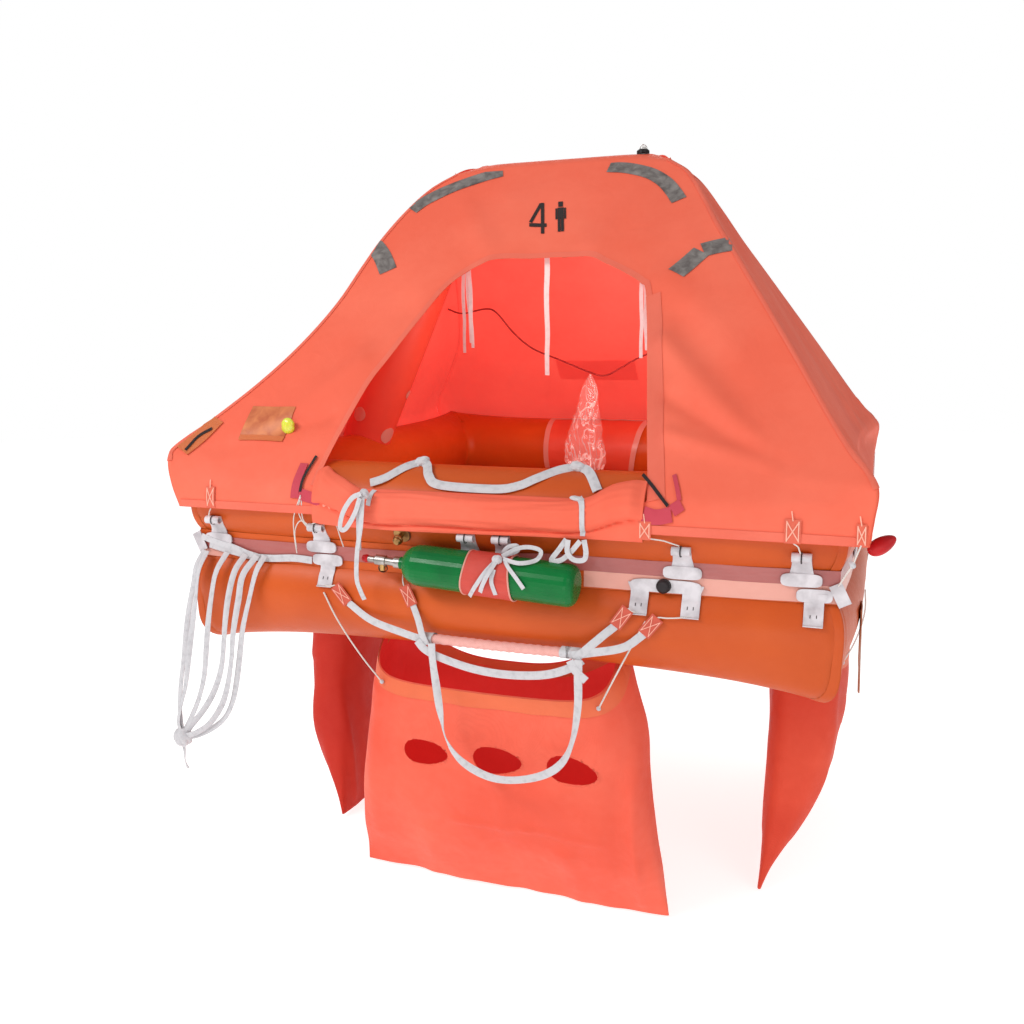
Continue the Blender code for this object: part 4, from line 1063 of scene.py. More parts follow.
trims = []
trims.append(strip("entrance_hem", ENTRANCE, 0.016, on_front, trim_cloth, CLOTH + 0.0004, 0.0012,
    shift=-0.36, steps=8, columns=8))
trims.append(strip("placket", milli(((346, 680), (372, 575), (398, 455), (428, 320), (458, 190))), 0.04,
    on_front, trim_cloth, CLOTH + 0.001, 0.001, columns=10))
for rail, side in ((LEFT_RAIL, -1), (RIGHT_RAIL, 1)):
    centre = [(x - side * 0.003, z) for z, x, _ in rail[2:]]
    trims.append(strip("corner_seam", centre, 0.012, on_front, trim_cloth, CLOTH + 0.0008, 0.0012,
        columns=4))
trims.append(strip("skirt_hem", milli(((-885, 124), (-500, 124), (0, 124), (500, 124), (915, 124))), 0.02,
    on_front, trim_cloth, CLOTH + 0.001, 0.0014, columns=4, steps=40))
settle(joined("canopy_trims", trims), "canopy_cloth")


def on_back(x, z, lift):
    """A point of the canopy's back panel, the same as the front's but without an entrance."""
    return front_at(x, z, lift, True)


back_trims = [strip("skirt_hem_back", milli(((-885, 124), (0, 124), (915, 124))), 0.02, on_back, trim_cloth,
    CLOTH + 0.001, 0.0014, columns=4, steps=40, outward=(0, 1, 0.4))]
for rail, side in ((LEFT_RAIL, -1), (RIGHT_RAIL, 1)):
    centre = [(x - side * 0.006, z) for z, x, _ in rail[2:]]
    back_trims.append(strip("corner_seam_back", centre, 0.012, on_back, trim_cloth, CLOTH + 0.0008, 0.0012,
        columns=4, outward=(0, 1, 0.4)))
    back_trims.append(strip("skirt_hem_side", milli(((-960, 124), (0, 124), (960, 124))), 0.02,
        lambda q, z, lift, side=side: side_at(side, q, z, lift), trim_cloth, CLOTH + 0.001, 0.0014,
        columns=4, steps=40, outward=(side, 0, 0.4)))
settle(joined("canopy_trims_back", back_trims), "canopy_cloth")


def crossed_patch(name, x, top, bottom, half, surface=on_front, facing=-1):
    """A small patch at the skirt's edge, its cross of stitches and the thread on top."""
    outward = (0, facing, 0.4)
    inset = half * 0.72
    pieces = [strip(name, ((x, top), (x, (top + bottom) / 2), (x, bottom)), 2 * half, surface, patch_orange,
        ON_CLOTH + 0.0012, 0.0016, columns=8, steps=5, outward=outward)]
    lines = [((x - sign * inset, top - 0.006), (x + sign * inset, bottom + 0.006)) for sign in (-1, 1)]
    lines += [((x + edge * inset, top - 0.004), (x + edge * inset, bottom + 0.004)) for edge in (-1, 1)]
    lines.append(((x - 0.004, top + 0.016), (x, top - 0.004)))
    for line in lines:
        pieces.append(strip(name + "_stitch", line, 0.0024, surface, thread_pale, ON_CLOTH + 0.003, 0.0006,
            columns=2, steps=8, outward=outward))
    settle(joined(name, pieces), "canopy_cloth")


SKIRT_TIES = milli(((-784, 172, 116, 14), (-416, 160, 126, 13), (436, 142, 100, 15), (770, 164, 112, 18),
    (915, 164, 114, 11)))
for n, (x, top, bottom, half) in enumerate(SKIRT_TIES):
    crossed_patch("skirt_patch_%d" % (n + 1), x, top, bottom, half)
BACK_TIES = (-0.77, -0.42, 0.42, 0.77)
for n, x in enumerate(BACK_TIES):
    crossed_patch("back_patch_%d" % (n + 1), x, 0.164, 0.116, 0.014, on_back, 1)

FOOT_STRIPS = milli((("foot_left_1", ((-517, 236), (-518, 195), (-516, 152)), 24),
    ("foot_left_2", ((-504, 163), (-470, 156), (-436, 148)), 28), ("foot_right_1",
    ((490, 243), (502, 216), (512, 190)), 10), ("foot_right_2", ((500, 186), (508, 175), (516, 164)), 26),
    ("foot_right_3", ((430, 158), (462, 152), (497, 160)), 34)))
feet = [strip(name, centre, width, on_front, patch_pink, ON_CLOTH + 0.001, 0.0014)
    for name, centre, width in FOOT_STRIPS]
settle(joined("entrance_foot_patches", feet), "canopy_cloth")
ZIPS = milli((("zip_left", ((-488, 254), (-500, 205), (-500, 168)), 7),
    ("zip_right", ((415, 240), (445, 215), (487, 177)), 7), ("corner_stitch",
    ((-893, 262), (-876, 298), (-848, 319)), 7.5)))
zips = [strip(name, centre, width, on_front, black_web, ON_CLOTH + 0.003, 0.0016, columns=3)
    for name, centre, width in ZIPS]
settle(joined("zip_lines", zips), "canopy_cloth")
brown_patch = sewn_finish("brown_patch", (214, 112, 56), (188, 84, 40), 0.35, 0.55)
settle(strip("corner_patch", milli(((-902, 262), (-872, 300), (-846, 345))), 0.046, on_front, brown_patch,
    ON_CLOTH + 0.001, 0.0012, 1.2), "canopy_cloth")

label_paint, tree, shader = finish("brown_label", (196, 104, 58), 0.42)
place = coordinates(tree, "UV")
cloudy = node(tree, "TexNoise", Vector=place, Scale=26.0, Detail=5.0, Distortion=0.5)
tones = ramp(tree, cloudy, (178, 84, 44), (216, 126, 72), 0.32, 0.7)
shiny = node(tree, "MapRange", Value=cloudy, To_Min=0.3, To_Max=0.6)
wrinkled = node(tree, "Bump", Height=cloudy, Strength=0.4, Distance=0.002)
feed(tree, shader, Base_Color=tones, Roughness=shiny, Normal=wrinkled)
labels = [strip("label", milli(((-757, 338), (-686, 336), (-615, 333))), 0.104, on_front, label_paint,
    ON_CLOTH, 0.0008, 1.2, columns=10), strip("label_foot", milli(((-757, 300), (-686, 299), (-616, 296))),
    0.016, on_front, brown_patch, ON_CLOTH + 0.001, 0.0006, 1.2)]
settle(joined("blank_label", labels), "canopy_cloth")

lamp_plastic, tree, shader = finish("lamp_yellow_green", (206, 214, 40), 0.25, Subsurface_Weight=0.25,
    Coat_Weight=0.4)
veil = node(tree, "TexNoise", Vector=coordinates(tree), Scale=90.0)
cast = ramp(tree, veil, (190, 196, 26), (226, 232, 84))
rough = node(tree, "MapRange", Value=veil, To_Min=0.16, To_Max=0.34)
feed(tree, shader, Base_Color=cast, Roughness=rough)
lamp_seat = front_at(-0.613, 0.327, ON_CLOTH + 0.01)
small_lamp = fresh("inside_lamp_cell", "uv_sphere", segments=40, ring_count=24, radius=1.0)
for vertex in small_lamp.data.vertices:
    x, y, z = vertex.co
    waist = 1 - 0.1 * exp(-((z / 0.18) ** 2))
    vertex.co = lamp_seat + Vector((x * 0.021 * waist, y * 0.013, z * 0.023))
small_lamp.data.materials.append(lamp_plastic)
bpy.ops.object.shade_smooth()
settle(small_lamp, "clear_plastic")


# Door and strap.
# The entrance's door is a cloth rolled down over the front tube and tied with white tapes.
# A white strap for climbing in lies on the tube above it, knotted at both ends.

def on_upper(x, along, lift):
    """A point of the upper tube's front: along is metres round it, up from level."""
    turn = along / TUBE_R
    reach = tube_radius(True, x / (LINE + 0.12), turn) + lift
    return placed(x, -(LINE + reach * cos(turn)), TUBE_Z + reach * sin(turn))


# The door's upper edge: a place and how far round the tube it reaches, in degrees.
DOOR_EDGE = ((-0.462, 54), (-0.44, 59), (-0.41, 50), (-0.37, 41), (-0.335, 33), (-0.3, 28), (-0.24, 27),
    (-0.18, 29), (-0.065, 28), (0.05, 26), (0.16, 26), (0.245, 28), (0.3, 34), (0.332, 43), (0.357, 50),
    (0.39, 55), (0.43, 58))
DOOR_LOW = -15
DOOR_LIFT = 0.008


def door_lift(x, h):
    """How far the door's outer face stands off: h from 0 at its foot to 1 at its top edge.

    A round roll lies above a flat edge, with a deep fold between them.
    """
    fold = 0.17 + 0.17 * eased(0.26, 0.42, abs(x + 0.01))
    fold += 0.02 * noise_at(x * 6.0, 0.0, 8.0)
    middle, half = (1 + fold) / 2, (1 - fold) / 2
    roll = 0.022 * sqrt(max(0.0, 1 - ((h - middle) / half) ** 2))
    edge = 0.0075 * (1 - eased(fold - 0.07, fold, h)) * eased(0.0, 0.03, h)
    wave = 0.0035 * noise_at(x * 5.0, h * 2.6, 4.0)
    wave += 0.003 * noise_at(x * 7 + h * 3, h * 11, 9.0)
    drawn = 0.0
    for tie in (-0.285, 0.287):
        drawn += exp(-(((x - tie) / 0.03) ** 2))
        wave += 0.003 * exp(-(((abs(x - tie) - 0.05) / 0.03) ** 2))
    fade = eased(0.0, 0.035, min(x + 0.464, 0.432 - x))
    return 0.003 + (roll + edge + wave * min(1.0, roll / 0.01)) * (1 - 0.25 * drawn) * (0.25 + 0.75 * fade)


def door_turn(x, h):
    upper = curve_at(DOOR_EDGE, x)[0]
    low = DOOR_LOW + 2.0 * sin(x * 6.0)
    return radians(low + (upper - low) * h) * TUBE_R


def on_door(x, h, lift):
    return on_upper(x, door_turn(x, h), DOOR_LIFT + door_lift(x, h) + lift)


def door_section(s, t):
    """s goes round the door's section, up its back and down its front."""
    x = DOOR_EDGE[0][0] + (DOOR_EDGE[-1][0] - DOOR_EDGE[0][0]) * t
    around = 2 * pi * s
    h = 0.5 - 0.5 * cos(around)
    inner = on_upper(x, door_turn(x, h), DOOR_LIFT)
    if s <= 0.5:
        return inner
    front = on_door(x, h, 0.0)
    return inner.lerp(front, clamp(sin(around - pi) * 3.2))


door = grid("door_cloth", 96, 190, door_section, (0.62, 0.9), canopy_cloth)
bpy.ops.object.mode_set(mode="EDIT")
bpy.ops.mesh.select_all(action="SELECT")
bpy.ops.mesh.remove_doubles(threshold=0.0002)
bpy.ops.mesh.fill_holes(sides=400)
bpy.ops.mesh.normals_make_consistent(inside=False)
bpy.ops.object.mode_set(mode="OBJECT")
bpy.ops.object.shade_smooth_by_angle(angle=radians(70))
settle(door, "canopy_cloth", "door_roll")
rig.padded(door, 0.4)


def webbing(name, points, width, skin, facing=(0, -1, 0), steps=6, thickness=0.0018, twist=None, columns=6,
        cup=0.0):
    """A flat webbing along a route, its flat side towards facing; returns what tie_down takes.

    twist lists quarter turns along the route as shares of its length with an angle.
    """
    route = smooth_route(points, steps)
    length = sum((q - p).length for p, q in zip(route, route[1:]))
    facing = Vector(facing)

    def place(s, t):
        point, along = on_route(route, t)
        side = along.cross(facing)
        side = side.normalized() if side.length > 1e-4 else Vector((1, 0, 0))
        if twist:
            side = Matrix.Rotation(radians(curve_at(twist, t)[0]), 3, along) @ side
        bulge = side.cross(along) * cup * (1 - (2 * s - 1) ** 2)
        return point + side * width * (s - 0.5) + bulge

    rows = max(6, int(length / 0.006))
    made = grid(name, columns, rows, place, (width, length), skin)
    thicken(made, thickness, 0.0)
    return made, [tuple(on_route(route, k / rows)[0]) for k in range(rows + 1)], length, width


SHORTEST_CORD = 0.122


def tie_down(tape, far_end, stiffness="medium", lay="hanging", with_pieces=(), node=None, free=False):
    """Declares a webbing as a free cord, unless it is a short end, and its solid."""
    piece, path, length, width = tape
    settle(piece, "white_webbing", *([node] if node else []))
    if free or length > SHORTEST_CORD:
        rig.cord(piece, exit=path[0], length=round(length, 3), diameter=width, far_end=far_end,
            stiffness=stiffness, lay=lay, path=path, with_pieces=with_pieces)


def knot(name, place, size, tilt=0.0, solids=()):
    """A knot of webbing: a lump with the ridges of its turns."""
    lump = fresh(name, "uv_sphere", segments=48, ring_count=28, radius=1.0)
    for vertex in lump.data.vertices:
        p = vertex.co.copy()
        ridge = 0.14 * abs(sin(2.3 * atan2(p.z, p.x) + 3.2 * p.y)) - 0.1 * exp(-((p.x / 0.2) ** 2))
        p *= 1 + ridge
        across = p.x * size[0]
        rise = p.z * size[2]
        vertex.co = Vector(place) + Vector((across * cos(tilt) - rise * sin(tilt), p.y * size[1],
            across * sin(tilt) + rise * cos(tilt)))
    for corner in lump.data.uv_layers.active.data:
        corner.uv = (corner.uv[0] * 0.09, corner.uv[1] * 0.05)
    lump.data.materials.append(white_web)
    bpy.ops.object.shade_smooth()
    settle(lump, "white_webbing", *solids)
    return lump


STRAP = ((-0.3, 39), (-0.262, 47), (-0.22, 68), (-0.19, 82), (-0.165, 74), (-0.14, 52), (-0.1, 40),
    (0.05, 38), (0.11, 44), (0.15, 56), (0.2, 76), (0.24, 84), (0.275, 72), (0.312, 42))
STRAP_POINTS = [on_upper(x, radians(turn) * TUBE_R, 0.0062) for x, turn in STRAP]


tape = webbing("grab_webbing", STRAP_POINTS, 0.024, white_web, (0, -0.8, 0.6), steps=5, cup=0.002)
strap_knots = [knot("strap_knot_left", STRAP_POINTS[3] + Vector((0.004, -0.002, 0.003)),
    (0.02, 0.012, 0.013), 0.3), knot("strap_knot_right", STRAP_POINTS[11] + Vector((0.0, -0.003, 0.003)),
    (0.019, 0.012, 0.013), -0.2)]
tie_down(tape, "object", lay="loose", with_pieces=strap_knots, node="grab_strap")

# The tapes that tie the door: a bow at the left and a loop at the right.
BOW_Y, BOW_AWAY = -0.975, -0.985
bow_knot = knot("bow_knot", (-0.285, -0.968, raised(0.18)), (0.011, 0.01, 0.013))


def hung(points, y):
    return [placed(x, y + 0.002 * sin(9 * k), z) for k, (x, z) in enumerate(points)]


DOOR_TAPES = (("bow_loop", milli(((-285, 183), (-312, 170), (-338, 132), (-350, 92), (-332, 90), (-306, 130),
    (-288, 172))), BOW_AWAY, "object"), ("bow_tail_short", milli(((-290, 176), (-300, 130), (-300, 80),
    (-302, 34))), BOW_Y, "bare"), ("bow_tail_long", milli(((-284, 175), (-292, 100), (-304, 30), (-310, -40),
    (-298, -72), (-289, -96))), BOW_Y - 0.004, "bare"), milli(("door_tape_loop",
    ((287, 92), (262, 62), (240, 43), (214, 39), (236, 70), (252, 94)), -962, "object")),
    milli(("door_tape_loop_2", ((258, 94), (256, 64), (272, 47), (296, 47), (303, 66), (297, 96)), -966,
    "object")))
for name, points, y, far_end in DOOR_TAPES:
    tie_down(webbing(name, hung(points, y), 0.0125, white_web, steps=8, thickness=0.0014, columns=4),
        far_end, "limp", with_pieces=[bow_knot] if name == "bow_loop" else ())


door_tape = strip("door_tape_right", milli(((287, 100), (288, 450), (285, 800), (272, 1020))), 0.0125,
    on_door, white_web, 0.0016, 0.0016, stretch=0.09)
knot("door_tape_curl", on_door(0.27, 0.97, 0.004), (0.017, 0.008, 0.006), -0.15)
bow_tape = strip("door_tape_left", milli(((-283, 620), (-281, 800), (-278, 1030))), 0.0125, on_door,
    white_web, 0.0016, 0.0016, stretch=0.1)
settle(door_tape, "white_webbing")
settle(bow_tape, "white_webbing")


# Band and T-shaped patches.
# A thin pink cloth band covers the seam between the tubes, glued in two overlapping strips; the upper one is painted
# darker mauve as shade.
# White rubber patches stand on it; the upper ones end in a roll tied to the canopy's skirt.

BAND_HALF = 0.038


def skin_out(upper, p, z):
    """How far outside its line a tube's skin stands at a station and a height."""
    turn = 0.0
    rise = z - (TUBE_Z if upper else -TUBE_Z)
    for _ in range(6):
        r = tube_radius(upper, p, turn)
        turn = asin(max(-1.0, min(1.0, rise / r)))
    return r * cos(turn)


def band_out(p):
    return max(skin_out(True, p, BAND_HALF), skin_out(False, p, -BAND_HALF)) + 0.0012


def band_strip(name, start, stop, edges, lift, skin, rough):
    """A strip of the band: start and stop count sides round the raft, edges its heights."""
    def place(s, t):
        round_raft = start + (stop - start) * t
        side = int(round_raft) % 4
        p = 2 * (round_raft - int(round_raft)) - 1
        low, high = edges(round_raft)
        z = low + (high - low) * s
        ripple = rough * noise_at(round_raft * 24, z * 70, lift * 900)
        ripple += 0.6 * rough * noise_at(round_raft * 90, z * 30, 1.0)
        return at_side(side, p, band_out(p) + lift + abs(ripple), z)

    long = (stop - start) * 1.8
    return grid(name, 12, int(long / 0.008), place, (2 * BAND_HALF, long), skin, 0.0009, outward_of)


def painted_shade_edges(r):
    """On the front the mauve strip, painted shade, climbs a little from left to right."""
    climb = eased(0.42, 0.62, r % 4) if r % 4 < 1 else 1.0
    wave = 0.0018 * noise_at(r * 14, 0.0, 0.0)
    return -0.016 + 0.022 * climb + wave, 0.022 + 0.02 * climb + wave


def pink_edges(r):
    wave = 0.003 * noise_at(r * 11, 2.0, 0.0)
    return -0.035 + wave, 0.012 + 0.5 * wave


# The mauve finish is the band's pink painted darker: painted shade on the band's upper half.
band_mauve = cloth_finish("band_mauve", (173, 94, 88), (150, 74, 72), crinkle=1.4, weave=0.02, depth=0.004,
    roughness=(0.22, 0.42), gloss=0.5)
band_pink = cloth_finish("band_light_pink", (222, 160, 146), (207, 136, 120), crinkle=1.4, weave=0.02,
    depth=0.004, roughness=(0.25, 0.45), gloss=0.5)
backing = band_strip("band_backing_strip", 0.0, 4.0, lambda r: (-BAND_HALF, BAND_HALF), 0.0, tube_rubber,
    0.0004)
upper_band = band_strip("band_mauve_strip", 0.0, 4.0, painted_shade_edges, 0.0024, band_mauve, 0.0014)
lower_band = band_strip("band_pink_strip", 0.655, 4.055, pink_edges, 0.0012, band_pink, 0.0012)
settle(joined("band_cloth", [backing, upper_band, lower_band]), "band_webbing", "seam_band")
BAND_FRONT = 0.0046


def patch_out(place, z):
    """How far out a patch lies: flat on the band, then up or down the tube's skin."""
    p = place / (LINE + 0.1)
    skin = skin_out(z > 0, p, z) if abs(z) > 0.5 * BAND_HALF else 0.0
    return max(band_out(p) + BAND_FRONT, skin + 0.0014)


patch_rubber, tree, shader = finish("white_patch_rubber", (232, 232, 236), 0.45)
place = coordinates(tree)
stained = node(tree, "TexNoise", Vector=place, Scale=24.0, Detail=6.0)
tones = ramp(tree, stained, (174, 168, 172), (209, 204, 208), 0.34, 0.62)
grain = node(tree, "TexNoise", Vector=place, Scale=420.0, Detail=2.0)
rough = node(tree, "MapRange", Value=stained, To_Min=0.34, To_Max=0.58)
pitted = node(tree, "Bump", Height=grain, Strength=0.25, Distance=0.0006)
feed(tree, shader, Base_Color=tones, Roughness=rough, Normal=pitted)

TEE_THICK = 0.0034
STEM_HALF = 0.022
ROLL_R = 0.0095


def tee_point(side, place, u, z):
    return at_side(side, place / (LINE + u), u, z)


def tee_bar(side, place, wide, up):
    """The bar of a T, lying on the band, with rounded ends that lift a little."""
    sign = 1 if up else -1

    def at(s, t):
        a = 2 * t - 1
        round_end = (1 - abs(a) ** 5) ** 0.5
        h = 0.0175 + 0.0155 * (2 * s - 1) * (0.35 + 0.65 * round_end)
        along = place + wide * a
        lift = 0.0004 + 0.0016 * abs(a) ** 4
        return tee_point(side, along, patch_out(along, sign * h) + lift, sign * h)

    return grid("tee_bar", 14, 34, at, (0.034, 2 * wide), patch_rubber, TEE_THICK, outward_of)


def tee_stem(side, place, up, rolled):
    """The stem of a T: up or down the tube, and then curled into a roll or cut off."""
    sign = 1 if up else -1
    top = 0.07 if rolled else 0.08
    steps = [(patch_out(place, sign * z) + 0.001, sign * z) for z in (0.012, 0.024, 0.036, 0.046, 0.056,
        0.064, top)]
    if rolled:
        u0, z0 = steps[-1]
        middle = (u0 + ROLL_R + 0.001, z0 + sign * 0.004)
        for k in range(1, 15):
            turn = pi - 2.6 * pi * k / 14
            r = ROLL_R * (1 - 0.35 * k / 14)
            steps.append((middle[0] + r * cos(turn), middle[1] + sign * r * sin(turn)))
    else:
        u0, z0 = steps[-1]
        steps += [(u0 + 0.004, z0 + sign * 0.005), (u0 + 0.009, z0 + sign * 0.006)]
    route = smooth_route([(u, z, 0.0) for u, z in steps], 3)

    def at(s, t):
        point, _ = on_route(route, t)
        flare = 1 + 0.3 * (1 - eased(0.0, 0.22, t))
        along = place + STEM_HALF * flare * (2 * s - 1)
        return tee_point(side, along, point.x, point.y)

    return grid("tee_stem", 10, 60, at, (2 * STEM_HALF, 0.16), patch_rubber, TEE_THICK * 0.8, outward_of)


def tee_tie(side, place, up):
    """The dark line where a thread is drawn round the roll."""
    sign = 1 if up else -1
    u0 = patch_out(place, sign * 0.07) + 0.001
    middle = (u0 + ROLL_R + 0.001, sign * 0.074)

    def at(s, t):
        r = ROLL_R + TEE_THICK * 0.8 + 0.0004
        along = place + 0.0014 * (2 * s - 1)
        u = middle[0] + r * cos(2 * pi * t)
        return tee_point(side, along, u, middle[1] + r * sin(2 * pi * t))

    return grid("tee_tie", 2, 40, at, (0.003, 0.07), black_web, 0.0008)


def tee(name, side, place, up, wide=0.046, stems=(0.0,), rolled=True, node=None):
    pieces = [tee_bar(side, place, wide, up)]
    for stem in stems:
        pieces.append(tee_stem(side, place + stem, up, rolled))
        if rolled:
            pieces.append(tee_tie(side, place + stem, up))
        else:
            for cut in (-0.007, 0.007):
                def slit(a, b, lift, up=up):
                    z = b if up else -b
                    return tee_point(side, a, patch_out(a, z) + lift, z)
                pieces.append(strip("tee_slit", ((place + stem + cut, 0.06), (place + stem + cut, 0.067)),
                    0.0016, slit, black_web, 0.0045, 0.0006, columns=2, steps=4, outward=outward_of))
    settle(joined(name, pieces), "patch_cloth", *([node] if node else []))


UPPER_TEES = (-0.8, -0.458, 0.52, 0.79)
for n, place in enumerate(UPPER_TEES):
    tee("tee_upper_%d" % (n + 1), 0, place, True, node="fitting_upper_%d" % (n + 1))
for n, (place, wide) in enumerate(((-0.44, 0.046), (0.82, 0.04))):
    tee("tee_lower_%d" % (n + 1), 0, place, False, wide, rolled=False, node="fitting_lower_%d" % (n + 1))
for n, place in enumerate((-0.022, 0.072)):
    tee("tee_behind_%d" % (n + 1), 0, place, True, 0.04)
for n, place in enumerate(BACK_TIES):
    tee("tee_back_%d" % (n + 1), 2, place, True)
tee("tee_double", 0, 0.481, False, 0.085, (-0.062, 0.062), False, node="fitting_double")
for side, label in ((1, "right"), (3, "left")):
    for n, place in enumerate((-0.5, 0.5)):
        tee("tee_%s_%d" % (label, n + 1), side, place, True, node="fitting_%s_%d" % (label, n + 1))


def thin_cord(name, points, radius, lay="hanging", nodes=(), skin=None, slot="white_webbing"):
    """A thin round cord on a smooth route; a cord longer than SHORTEST_CORD is declared with its own length."""
    route = smooth_route(points, 6)
    curve = bpy.data.curves.new(name, "CURVE")
    curve.dimensions = "3D"
    curve.bevel_depth = radius
    curve.bevel_resolution = 4
    curve.use_fill_caps = True
    spline = curve.splines.new("POLY")
    spline.points.add(len(route) - 1)
    for target, point in zip(spline.points, route):
        target.co = (*point, 1.0)
    cord = bpy.data.objects.new(name, curve)
    bpy.context.scene.collection.objects.link(cord)
    curve.materials.append(skin or cord_white)
    spline.use_smooth = True
    settle(cord, slot, *nodes)
    length = sum((q - p).length for p, q in zip(route, route[1:]))
    if length > SHORTEST_CORD:
        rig.cord(cord, exit=tuple(route[0]), length=round(length, 4), diameter=2 * radius, far_end="object",
            stiffness="limp", lay=lay, with_pieces=())


def cord_finish(name, colour, dirt_colour, scale):
    """A braided cord: slanting strands, with painted shade darkening the gaps between them."""
    made, tree, shader = finish(name, colour, 0.75, gloss=0.25)
    place = coordinates(tree)
    turned = node(tree, "VectorRotate", {"rotation_type": "Y_AXIS"}, Vector=place, Angle=radians(38))
    laid = node(tree, "TexWave", {"bands_direction": "Z"}, Vector=turned, Scale=scale, Distortion=1.5,
        Detail=2.0)
    mixed = node(tree, "MixRGB", Fac=laid.outputs["Fac"], Color1=paint(*dirt_colour), Color2=paint(*colour))
    bump = node(tree, "Bump", Height=laid.outputs["Fac"], Strength=0.6, Distance=0.0008)
    grain = node(tree, "MapRange", Value=laid.outputs["Fac"], To_Min=0.85, To_Max=0.65)
    feed(tree, shader, Base_Color=mixed, Roughness=grain, Normal=bump)
    return made


cord_white = cord_finish("cord_white", (232, 226, 220), (186, 178, 172), 120.0)


def slack(top, middle, foot, share=0.6):
    return [top, top.lerp(middle, 0.5), middle, middle.lerp(foot, share), foot]


# Thin cords from the rolls up to the patches on the skirt, and the tangle at the left foot.
ROLL_Y = -(LINE + band_out(0.0) + 0.03)
SKIRT_CORDS = milli((((-786, 112), (-800, 86)), ((-416, 126), (-455, 88)), ((438, 104), (516, 88)),
    ((770, 114), (788, 88))))
for n, (high, low) in enumerate(SKIRT_CORDS):
    top = front_at(high[0], high[1], 0.0045)
    foot = placed(low[0], ROLL_Y, low[1])
    between = top.lerp(foot, 0.5) + Vector((0.004, -0.006, 0.004))
    thin_cord("skirt_cord_%d" % (n + 1), slack(top, between, foot), 0.0016)


for n, x in enumerate(BACK_TIES):
    top = on_back(x, 0.118, 0.0045)
    foot = placed(x, -ROLL_Y, 0.088)
    middle = top.lerp(foot, 0.5) + Vector((0.004, 0.006, 0.004))
    thin_cord("back_cord_%d" % (n + 1), slack(top, middle, foot), 0.0016)

FOOT_CORDS = milli(((((-496, 162), (-510, 130), (-522, 94), (-528, 40), (-529, -2))),
    (((-494, 150), (-495, 118), (-492, 96), (-478, 78), (-468, 72))), (((-466, 86), (-438, 93), (-408, 94),
    (-392, 86), (-384, 52), (-381, 26))), (((-496, 158), (-504, 128), (-500, 100), (-478, 74), (-455, 64))),
    (((-529, 10), (-522, 60), (-505, 90), (-486, 88), (-470, 72)))))
for n, places in enumerate(FOOT_CORDS):
    thin_cord("foot_cord_%d" % (n + 1), [placed(x, ROLL_Y - 0.004 - 0.002 * eased(0.06, 0.16, z)
        + 0.02 * (1 - eased(0.0, 0.08, z)), z) for x, z in places], 0.0015)

# At the right corner a cord runs from the skirt's last patch down to the band.
corner_top = on_front(0.915, 0.118, 0.006)
corner_foot = at_side(0, 0.895 / (LINE + 0.1), band_out(0.98) + 0.012, 0.01)
corner_middle = corner_top.lerp(corner_foot, 0.45) + Vector((0.004, -0.01, 0.0))
thin_cord("corner_cord", slack(corner_top, corner_middle, corner_foot, 0.5), 0.002)
knot("corner_cord_knot", corner_middle, (0.006, 0.006, 0.008), 0.4)


# Gas cylinder and valves.
# A green painted steel cylinder with a brass-necked steel valve and a red cap, held by a
# sleeve of canopy cloth that is tied with a white bow.

def steel_finish(name, colour, scratch_colour, roughness, scale=60.0, metallic=1.0):
    """Metal with fine scratches and some tarnish."""
    made, tree, shader = finish(name, colour, roughness, Metallic=metallic, gloss=0.5 if metallic else 0.22)
    place = coordinates(tree)
    drawn = node(tree, "Mapping", Vector=place, Scale=(1.0, 6.0, 6.0))
    scratch = node(tree, "TexNoise", Vector=drawn, Scale=scale, Detail=8.0)
    tarnish = node(tree, "TexNoise", Vector=place, Scale=scale / 3, Detail=5.0)
    worn = node(tree, "MapRange", Value=tarnish, From_Min=0.4, From_Max=0.7)
    mixed = node(tree, "MixRGB", Fac=worn, Color1=paint(*colour), Color2=paint(*scratch_colour))
    rough = node(tree, "MapRange", Value=scratch, To_Min=roughness - 0.1, To_Max=roughness + 0.18)
    bump = node(tree, "Bump", Height=scratch, Strength=0.2, Distance=0.0004)
    feed(tree, shader, Base_Color=mixed, Roughness=rough, Normal=bump)
    return made


def dress(node_name, skin):
    """Gives a solid that keeps its shape its finished material."""
    frame["nodes"][node_name].material_slots[0].material = skin


green_paint = steel_finish("green_enamel", (0, 108, 48), (0, 94, 42), 0.24, 30.0, 0.0)
steel = steel_finish("brushed_steel", (176, 172, 168), (126, 118, 112), 0.34, 90.0)
brass = steel_finish("brass", (188, 150, 96), (122, 84, 52), 0.36, 90.0)
red_plastic = steel_finish("red_plastic", (190, 26, 30), (150, 16, 24), 0.34, 50.0, 0.0)
black_plastic = steel_finish("black_plastic", (24, 20, 22), (44, 36, 38), 0.36, 70.0, 0.0)
dress("gas_cylinder", green_paint)
dress("cylinder_valve", steel)
dress("valve_cap", red_plastic)
dress("inflation_valve", brass)
dress("relief_valve", black_plastic)
dress("lamp_base", black_plastic)

BOTTLE_R = 0.053
BOTTLE_Y = (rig.box("gas_cylinder")[0].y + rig.box("gas_cylinder")[1].y) / 2
START = placed(-0.192, BOTTLE_Y, 0.004)
END = placed(0.279, BOTTLE_Y, -0.021)
AXIS = (END - START).normalized()
FLAT = Vector((0, 0, 1)).cross(AXIS).normalized()
HIGH = AXIS.cross(FLAT)
SLEEVE = (0.19, 0.312)


def round_bottle(distance, turn, lift):
    out = FLAT * cos(turn) + HIGH * sin(turn)
    return START + AXIS * distance + out * (BOTTLE_R + lift)


